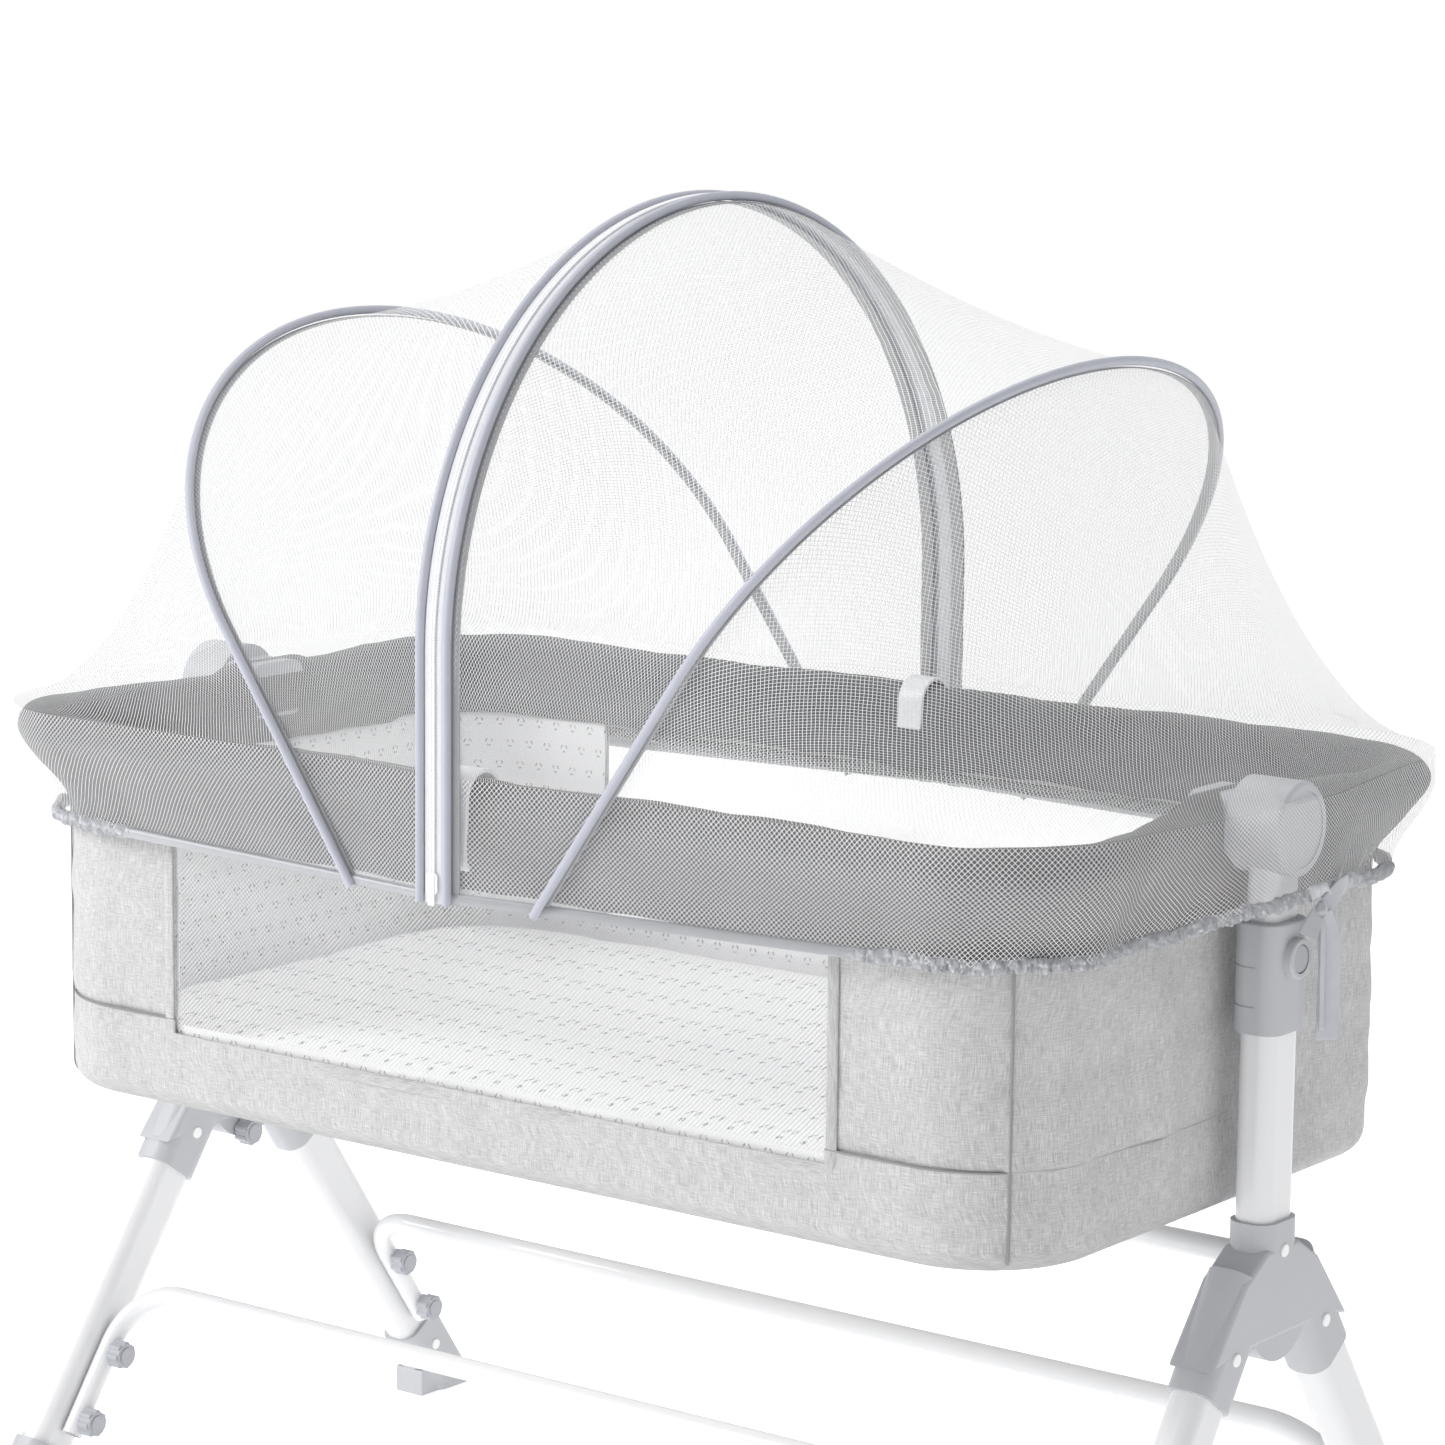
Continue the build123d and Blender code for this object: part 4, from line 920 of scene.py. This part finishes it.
def rail_cover():
    """Cover over the rail. Rows run from the inner edge up the inner side, over a half circle and down the
    outer side, which leaves the rail and goes in to the wall. Irregular waves crease it, most on the free
    outer side and round the corners, and it rises over the pivot blocks."""
    top_z = cover_top - COVER_HALF - 0.0022
    low_in = window_high.z + 0.0025
    inner = [(-COVER_HALF - 0.0015, z) for z in np.linspace(low_in, top_z, 13)[:-1]]
    turn = np.linspace(math.pi, 0, 13)
    over = [((COVER_HALF + 0.0008) * math.cos(a), top_z + (COVER_HALF + 0.0005) * math.sin(a)) for a in turn]
    fall = list(zip(FALL_SHARE[1:], FALL_Z[1:]))
    wall = wall_plan_rail(0.0030)
    outer_rail = rail_plan(COVER_HALF + 0.0008)
    rings = []
    total = len(inner) + len(over) + len(fall)
    inside = wall_plan_rail(-WALL - 0.0062)
    for k, (out, z) in enumerate(inner + over):
        ring = rail_plan(out)
        reach = float(smoothstep(low_in, low_in + 0.030, z)) if k < len(inner) else 1.0
        rings.append(raise_plan(inside + (ring - inside) * reach, z))
    for share, z in fall:
        rings.append(raise_plan(wall + (outer_rail - wall) * share, z))
    points = np.stack(rings)
    y = points[0, :, 1]
    end = np.abs(points[0, :, 0]) > 0.3
    hub = smoothstep(0.050, 0.033, np.abs(y)) * end
    row = np.arange(total)
    points[..., 2] += 0.0060 * hub[None] * (row[:, None] > len(inner) - 2) * (row[:, None] < len(inner) + 11)
    last = smoothstep(total - 5, total - 1, row)[:, None]
    points[..., 2] += last * np.where(y > 0, 0.007, -0.003)[None] * (~end)[None]
    run = lengths(points[len(inner) + 6], 0)
    along = tangents(points[len(inner) + 6], True)
    outward = np.stack([along[:, 1], -along[:, 0]], -1)
    corner = smoothstep(0.0, 0.03, np.minimum(np.abs(points[0, :, 0]) - (rail_x - CORNER - 0.03),
                                             np.abs(y) - (rail_y - CORNER - 0.03)))
    level = (row / (total - 1))[:, None]
    free = smoothstep(0.62, 0.8, level) * (1 - smoothstep(0.90, 1.0, level))
    lean = run[None] + level * 0.05
    waves = ripple(lean, 11, 5, 5.0) * 0.0016 + ripple(lean * 1.0 - level * 0.11, 17, 4, 9.0) * 0.0012 * (
        0.5 + 1.4 * corner[None])
    swell = waves * (0.25 + 1.1 * free) - 0.0022 * free * (1 - smoothstep(0.8, 0.97, level))
    inner_side = 1 - smoothstep(0.16, 0.30, level)
    swell = swell + inner_side * ripple(run[None] + level * 0.4, 23, 4, 6.0) * 0.0012
    sign = np.where(level < 0.40, -1.0, 1.0)
    swell = np.where(level < 0.40, swell, np.minimum(swell - 0.0008, 0.0004))
    points[..., :2] += outward[None] * (swell * sign * (1 - hub[None]))[..., None]
    points[..., 2] += ripple(run[None] * 1.0 + level * 0.2, 29, 4, 4.0) * 0.0012 * (1 - hub[None])
    points[: len(inner) // 3, :, 2] += ripple(run[None], 31, 4, 5.0) * 0.0009
    piece = grid_piece("rail_cover_cloth", points[::-1], flat_uv(points[::-1]), close_columns=True)
    thicken(piece, 0.0014, -1.0)
    subdivide(piece)
    settle(piece, "rail_fabric", "rail_cover", material=rail_fabric)


# ------------------------------------------------------------------ net

def arch(x_low, x_high, half, spring, apex, count=161):
    """Arch from the near rim to the far one: upright to the spring line, then half an ellipse, with X leaning
    evenly from its place at the rim to its place at the top. Evenly spaced."""
    a = np.linspace(0, math.pi, 121)
    crown_y = -half * np.cos(a)
    crown_z = spring + (apex - spring) * np.sin(a)
    low = np.linspace(net_rim_z, spring, 12)[:-1]
    y = np.concatenate([np.full(11, -half), crown_y, np.full(11, half)])
    z = np.concatenate([low, crown_z, low[::-1]])
    x = x_low + (x_high - x_low) * (z - net_rim_z) / (apex - net_rim_z)
    return resample(np.stack([x, y, z], -1), count)


def hoop_x(z):
    """Place along X of the right side hoop at a height: it leans evenly."""
    return SIDE_FOOT_X + (SIDE_APEX_X - SIDE_FOOT_X) * (z - FOOT_Z) / (SIDE_APEX_Z - FOOT_Z)


def net_half(side):
    """Half of the net. From the centre hoop to the side hoop the cloth is stretched straight between equal
    shares of both arches and dips a little. From the side hoop it falls to the rim, its height going with
    the power 1.5 of the way left, to equal shares of the rim's line round the end."""
    under = HOOP_R + 0.0004
    edge = CENTRE_HOOP_X + under
    first = arch(edge, edge, centre_y - under, SPRING_Z, centre_apex - under)
    second = arch(hoop_x(net_rim_z), hoop_x(SIDE_APEX_Z - under), side_half - under, SPRING_Z,
                  SIDE_APEX_Z - under * 1.2)
    rim = rim_net_plan()
    start = sum(SPANS[:4])
    far = rim[: start + 1]
    last = np.vstack([far[:0:-1] * (1, -1), far])
    last = resample(raise_plan(last, net_rim_z), len(first))
    w = np.linspace(0, 1, 34)[:, None, None]
    t = np.linspace(0, 1, len(first))[None, :, None]
    near = first * (1 - w) + second * w
    dip = 4 * w * (1 - w) * np.sin(math.pi * t)
    centre = np.array([0.15, 0.0, net_rim_z])
    near = near + unit(centre - near) * dip * 0.011
    w2 = np.linspace(0, 1, 46)[1:, None, None]
    fall = 1 - (1 - w2) ** 1.5
    far_part = second * (1 - w2) + last * w2
    far_part[..., 2:] = second[None, :, 2:] * (1 - fall) + net_rim_z * fall
    pull = np.sin(math.pi * w2) * ripple(t * 1.0, 41, 4, 7.0) * 0.0018 * np.sin(math.pi * t)
    far_part = far_part + unit(centre - far_part) * pull
    points = np.concatenate([near, far_part])
    height = points[..., 2] - net_rim_z
    wanted = np.interp(points[..., 0], *rim_side())
    gap = wanted - np.abs(points[..., 1])
    on_side = np.exp(-np.clip(height, 0, 1) / 0.02) * (np.abs(t[..., 0] - 0.5) > 0.42)
    points[..., 1] += np.sign(points[..., 1]) * gap * on_side * (points[..., 0] < rail_x - CORNER)
    points = points[:, ::-1] if side < 0 else points
    points = points * (side, 1, 1)
    name = "right" if side > 0 else "left"
    piece = grid_piece("net_" + name, points, even_uv(points))
    flip(piece)
    settle(piece, "net", "net_canopy_" + name, material=net)
    return piece


def rim_side():
    """X and Y of the net's rim along the side, for looking up Y at an X."""
    rim = rim_net_plan()[sum(SPANS[:4]): sum(SPANS) + 1]
    return rim[::-1, 0], rim[::-1, 1]


def net_fall():
    """Lower edge of the net: rings from the rim down to the hem, following the rail cover in towards the wall
    at the corners. Pulled folds run slantwise down to the elastic, deeper near it and near the hubs."""
    rim, tuck = rim_net_plan(0.0008), hem_net_plan()
    bottom = hem_height(tuck)
    rings = []
    for level in np.linspace(0, 1, 21):
        z = net_rim_z + (bottom - net_rim_z) * level
        share = fall_share(net_rim_z + (HEM_Z + 0.003 - net_rim_z) * level)
        xy = tuck + (rim - tuck) * share
        rings.append(raise_plan(xy, z))
    points = np.stack(rings)
    run = lengths(points[0], 0)
    along = tangents(points[0], True)
    outward = np.stack([along[:, 1], -along[:, 0]], -1)
    level = np.linspace(0, 1, 21)[:, None]
    end = smoothstep(0.30, 0.36, np.abs(points[0, :, 0]))[None]
    folds = (ripple(run[None] + level * 0.03, 47, 5, 9.0) + 0.5) * 0.0018 * level ** 1.5 * (0.25 + end)
    points[..., :2] += outward[None] * folds[..., None]
    piece = grid_piece("net_fall", points[::-1], even_uv(points[::-1]), close_columns=True)
    settle(piece, "net", "net_skirt", material=net)
    return piece


def hem():
    """Hem: a closed tube along the net's lower edge. Along the sides it is satin piping; round the ends the
    elastic gathers it into a taller flat band whose face is crumpled by short irregular waves."""
    base = hem_net_plan(0.001)
    loop = raise_plan(base, hem_height(base))
    closed = np.vstack([loop, loop[:1]])
    path = resample(closed, 2401)[:-1]
    along = tangents(path, True)
    out = unit(np.stack([along[:, 1], -along[:, 0], np.zeros(len(path))], -1))
    up = np.cross(out, along) * -1
    run = lengths(path, 0)
    end = smoothstep(0.292, 0.315, np.abs(path[:, 0]))
    crumple = ripple(run, 53, 4, 95.0, 0.7) + 0.6 * ripple(run, 59, 3, 31.0)
    creases = np.abs(ripple(run, 61, 3, 60.0, 0.8)) ** 0.6
    count = 16
    a = np.linspace(0, 2 * math.pi, count, endpoint=False)
    width = 0.0064 * (1 - end) + end * (0.0040 + 0.0012 * creases)
    height = 0.0070 * (1 - end) + end * (0.0094 + 0.0012 * crumple)
    squash = np.stack([np.cos(a)[None] * width[:, None] / 2, np.sin(a)[None] * height[:, None] / 2], -1)
    face = (end * crumple)[:, None] * 0.0015 * np.cos(a * 1.0)[None]
    slant = (end * ripple(run, 67, 3, 110.0))[:, None] * 0.0012 * np.sin(a * 2)[None]
    points = path[:, None] + (squash[..., :1] + (face + slant)[..., None]) * out[:, None] + (
        squash[..., 1:] * up[:, None])
    points = points + (end * ripple(run, 71, 3, 14.0) * 0.0009)[:, None, None] * up[:, None]
    piece = grid_piece("hem_gather", points, flat_uv(points)[..., ::-1], close_rows=True, close_columns=True)
    orient(piece)
    settle(piece, "hem_ribbon", "net_hem", material=hem_satin)
    return piece


def hoop_binding(name, x_at, half, apex, inner, width, material):
    """Tape sewn along the inside of a hoop, from its foot over the top to its other foot."""
    path = hoop_path(x_at, half - inner, apex - inner * 1.05)
    return strip(name, path, arch_outward(path), width / 2, 0.0009, material, power=4.0, count=8)


def arch_outward(path):
    """Unit vectors square to an arch's path and to X, pointing away from the middle of the spring line."""
    normal = unit(np.cross(tangents(path), np.array([1.0, 0, 0])))
    return normal * np.sign(np.sum(normal * (path - (0, 0, SPRING_Z)), -1, keepdims=True))


def hoop_path(x_at, half, apex, count=360):
    """Path of a hoop: upright to the spring line, then half an ellipse, leaning as x_at says."""
    a = np.linspace(0, math.pi, 161)
    y = np.concatenate([[-half] * 12, -half * np.cos(a), [half] * 12])
    low = np.linspace(FOOT_Z, SPRING_Z, 13)[:-1]
    z = np.concatenate([low, SPRING_Z + (apex - SPRING_Z) * np.sin(a), low[::-1]])
    return resample(np.stack([x_at(z), y, z], -1), count)


def zip_fastener():
    """Zip over the whole centre arch: a woven tape, and two coils whose width swells once a tooth."""
    tape = hoop_path(lambda z: z * 0, centre_y - 0.0006, centre_apex - 0.0006)
    out = arch_outward(tape)
    piece = strip("zip_band", tape, out, 0.0074, 0.0012, zip_tape, power=5.0, count=10)
    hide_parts("zip_tape")
    fine = resample(tape + out * 0.0012, 2800)
    normal = arch_outward(fine)
    tooth = np.arange(len(fine)) * 0.5 * math.pi
    for k, side in enumerate((-1, 1)):
        wave = 1 + 0.28 * np.cos(tooth + k * math.pi)
        centre = fine + np.array([side * 0.0011, 0, 0])
        a = np.linspace(0, 2 * math.pi, 6, endpoint=False)
        across = np.array([1.0, 0, 0])
        points = centre[:, None] + 0.0012 * wave[:, None, None] * (
            np.cos(a)[None, :, None] * across + 0.8 * np.sin(a)[None, :, None] * normal[:, None])
        coil = grid_piece("zip_coil_" + ("left" if side < 0 else "right"), points, flat_uv(points),
                          close_columns=True)
        cap_ends(coil, len(fine), 6)
        orient(coil)
        settle(coil, "zip", material=zip_teeth)


# ------------------------------------------------------------------ springs, clips and ties

def spring(side):
    """Return spring behind a push button: a round wire along a helix of three and a half turns about the
    button's axis."""
    name = "right" if side > 0 else "left"
    low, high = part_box("button_spring_" + name)
    middle_y, middle_z = (low.y + high.y) / 2, (low.z + high.z) / 2
    wire = 0.00035
    reach = (high.y - low.y) / 2 - wire
    turn = np.linspace(0, 7 * math.pi, 240)
    along = np.linspace(low.x + wire, high.x - wire, 240)
    path = np.stack([along, middle_y + reach * np.cos(turn), middle_z + reach * np.sin(turn)], -1)
    out = np.stack([np.zeros(240), np.cos(turn), np.sin(turn)], -1)
    piece = strip("return_spring_" + name, path, out, wire, 2 * wire, steel, power=2.0,
                  count=8)
    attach(piece, "stand")
    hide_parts("button_spring_" + name)
    still = low.x if side > 0 else high.x
    "press_" + name
    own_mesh(piece)


def clip(name, node, turn):
    """Moulded hook over the rail: a curved strip from a short inner lip, over the cover, to a tapering tail
    with a slot, with rounded edges."""
    low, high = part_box(node)
    x = (low.x + high.x) / 2
    half = COVER_HALF + 0.0022
    top = cover_top - COVER_HALF
    a = np.linspace(math.pi, 0, 15)
    hook = [(-half - 0.0015, low.z + 0.028), (-half - 0.0004, low.z + 0.036)]
    hook += [(half * math.cos(q), top + (half + 0.0005) * math.sin(q)) for q in a]
    hook += [(half + 0.0004, low.z + 0.022), (half - 0.002, low.z + 0.006), (half - 0.006, low.z)]
    profile = smooth_path(hook, 60)
    u = np.linspace(-1, 1, 13)
    width = np.interp(np.linspace(0, 1, 60), [0, 0.5, 0.72, 1.0], [0.0100, 0.0110, 0.0105, 0.0070])
    points = np.stack([
        np.broadcast_to(x + turn * u[None] * width[:, None], (60, 13)),
        np.broadcast_to(-turn * (rail_y + profile[:, :1]), (60, 13)),
        np.broadcast_to(profile[:, 1:], (60, 13))], -1)
    slot = np.zeros((59, 12), bool)
    slot[44:46, 3:9] = True
    piece = grid_piece(name, points, flat_uv(points), skip=slot)
    thicken(piece, 0.0026, 0.0)
    modifier(piece, "BEVEL", width=0.0006, segments=3, limit_method="ANGLE")
    settle(piece, "clip_moulding", node, material=white_plastic)
    return piece


def tie(side):
    """Ribbon tie at an end: two loops pressed flat, a knot and two tails, each a ribbon that twists evenly
    along a smooth path."""
    name = "right" if side > 0 else "left"
    x = net_hub_x + 0.0030
    knot = np.array([x + 0.002, 0.010, HEM_HUB_Z - 0.011])
    loops = {
        "tail_long": ([(0, 0, -0.002), (0.0015, 0.006, -0.014), (0.002, 0.009, -0.034),
                       (0.001, 0.0105, -0.058), (0.0005, 0.0105, -0.083)], 0.0076, 0.25),
        "tail_short": ([(0, 0.001, -0.001), (0.001, 0.001, -0.014), (0.0008, 0.002, -0.036),
                        (0.0002, 0.0035, -0.052), (0, 0.0045, -0.076)], 0.0016, 0.0),
        "bow_far": ([(0, 0.002, 0.0), (0.001, 0.010, 0.006), (0.0015, 0.021, 0.012), (0.001, 0.030, 0.014)],
                    0.0056, 1.2),
        "bow_near": ([(0, -0.002, 0.0), (0.001, -0.008, -0.003), (0.001, -0.014, -0.008),
                      (0, -0.017, -0.013)],
                     0.0056, 1.9)}
    for part, (points, half, turn) in loops.items():
        path = smooth_path(np.array(points) + knot, 60)
        along = tangents(path)
        out = np.tile([0.80, -0.60, 0.0], (len(path), 1))
        out = unit(out - along * np.sum(out * along, -1, keepdims=True))
        across = np.cross(along, out)
        angle = np.linspace(0, turn * 0.25, len(path))[:, None]
        out = out * np.cos(angle) + across * np.sin(angle)
        path = path * (side, 1, 1)
        out = out * (side, 1, 1)
        strip("tie_" + part + "_" + name, path, out, half, 0.0008, tie_satin, power=4.0,
              count=12)
    a = np.linspace(0, 2 * math.pi, 25)[:-1]
    b = np.linspace(0, math.pi, 13)
    ball = np.stack([
        knot[0] + 0.0032 * np.cos(a)[None] * np.sin(b)[:, None],
        knot[1] + (0.0062 + 0.0008 * np.sin(5 * b))[:, None] * np.sin(a)[None] * np.sin(b)[:, None],
        knot[2] + 0.0068 * np.broadcast_to(np.cos(b)[:, None], (13, 24))], -1) * (side, 1, 1)
    ball[0] = ball[0].mean(0)
    ball[-1] = ball[-1].mean(0)
    piece = grid_piece("tie_knot_" + name, ball, flat_uv(ball), close_columns=True)
    weld(piece)
    subdivide(piece)
    settle(piece, "hem_ribbon", "ribbon_tie_" + name, material=tie_satin)


def weld(piece):
    """Merge doubles at the poles and turn the faces outwards."""
    import bmesh
    soup = bmesh.new()
    soup.from_mesh(piece.data)
    bmesh.ops.remove_doubles(soup, verts=soup.verts, dist=1e-6)
    bmesh.ops.recalc_face_normals(soup, faces=soup.faces)
    soup.to_mesh(piece.data)
    soup.free()


# ------------------------------------------------------------------ stage, lights, camera

def stage():
    """Pale floor, even light from all round, a key lamp from the front left and one from above."""
    f = Finish("floor", Roughness=0.8, Emission_Color=(1, 1, 1, 1), Emission_Strength=0.46)
    cloud = f.noise(f.place(), 1.5, 2.0, 0.5)
    f.set(Base_Color=f.mix(cloud, (0.965, 0.965, 0.965), (0.975, 0.975, 0.975)))
    bpy.ops.mesh.primitive_plane_add(size=2400, location=(0, 0, -0.0005))
    floor = bpy.context.object
    floor.name = "floor"
    floor.data.materials.append(f.material)
    world = bpy.data.worlds.new("studio")
    world.use_nodes = True
    world.node_tree.nodes["Background"].inputs[0].default_value = (1, 1, 1, 1)
    world.node_tree.nodes["Background"].inputs[1].default_value = 0.56
    bpy.context.scene.world = world
    for name, place, target, size, power in (
            ("key", (-2.4, -2.6, 2.4), (0, 0, 0.5), 1.6, 88.0),
            ("top", (-0.3, 0.6, 3.4), (0, 0, 0.5), 2.0, 30.0)):
        lamp = bpy.data.lights.new(name, "AREA")
        lamp.size = size
        lamp.energy = power
        made = bpy.data.objects.new(name, lamp)
        made.location = place
        aim = np.array(target) - np.array(place)
        made.rotation_euler = direction(aim).to_euler()
        bpy.context.scene.collection.objects.link(made)


def direction(aim):
    from mathutils import Vector
    return Vector(aim).to_track_quat("-Z", "Y")


def camera():
    """Camera at the viewing angle: azimuth, elevation and roll in degrees."""
    from mathutils import Matrix
    azimuth, elevation, roll = math.radians(37.08), math.radians(9.31), math.radians(0.58)
    back = np.array([math.sin(azimuth) * math.cos(elevation), -math.cos(azimuth) * math.cos(elevation),
                     math.sin(elevation)])
    right = unit(np.cross(-back, (0, 0, 1)))
    up = np.cross(right, -back)
    across = math.cos(roll) * right + math.sin(roll) * up
    above = -math.sin(roll) * right + math.cos(roll) * up
    lens = bpy.data.cameras.new("camera")
    lens.lens = 112.6
    lens.sensor_width = 36.0
    eye = bpy.data.objects.new("camera", lens)
    eye_x, eye_y, eye_z = 1.81899, -2.38995, 1.09928
    turn = np.stack([across, above, back, (eye_x, eye_y, eye_z)], -1)
    eye.matrix_world = Matrix(turn.tolist() + [[0, 0, 0, 1]])
    bpy.context.scene.collection.objects.link(eye)
    bpy.context.scene.camera = eye


linen_cloth = linen()
thread = moulded("thread", (0.62, 0.62, 0.63), 0.7)
rail_fabric = rail_cloth()
net = net_cloth("net", 0.0025, 0.16)
window_net = net_cloth("window_net", 0.0024, 0.15)
liner_print = printed_cloth("liner_print", 0.0165, 0.0026, (0.42, 0.425, 0.44))
mattress_print = printed_cloth("mattress_print", 0.019, 0.0035, (0.40, 0.405, 0.42), 2.6)
hem_satin = ribbon_cloth("hem_satin", (0.74, 0.75, 0.79))
tie_satin = ribbon_cloth("tie_satin", (0.58, 0.59, 0.63))
zip_tape = ribbon_cloth("zip_tape", (0.80, 0.81, 0.84))
zip_teeth = moulded("zip_teeth", (0.90, 0.90, 0.92), 0.3)
seam_thread = moulded("seam_thread", (0.30, 0.30, 0.31), 0.8)
binding_cloth = ribbon_cloth("binding_cloth", (0.48, 0.485, 0.50))

finish_cad()
basket()
corner_seams()
window(1)
window(-1)
liner()
pad()
rail_cover()
net_half(1)
net_half(-1)
fall = net_fall()
hem()
for side in (1, -1):
    end = "right" if side > 0 else "left"
    hoop_binding("centre_binding_" + end, lambda z: side * (CENTRE_HOOP_X + 0.002) + z * 0, centre_y,
                 centre_apex, 0.0040, 0.011, binding_cloth)
    hoop_binding("side_binding_" + end, lambda z: side * hoop_x(z), side_half, SIDE_APEX_Z, 0.0042, 0.008,
                 binding_cloth)
    tie(side)
    spring(side)
zip_fastener()
clip("clip_near", "net_clip_near", 1)
clip("clip_far", "net_clip_far", -1)
stage()
camera()
scene = bpy.context.scene
scene.view_settings.view_transform = "Standard"
scene.cycles.transparent_max_bounces = 24
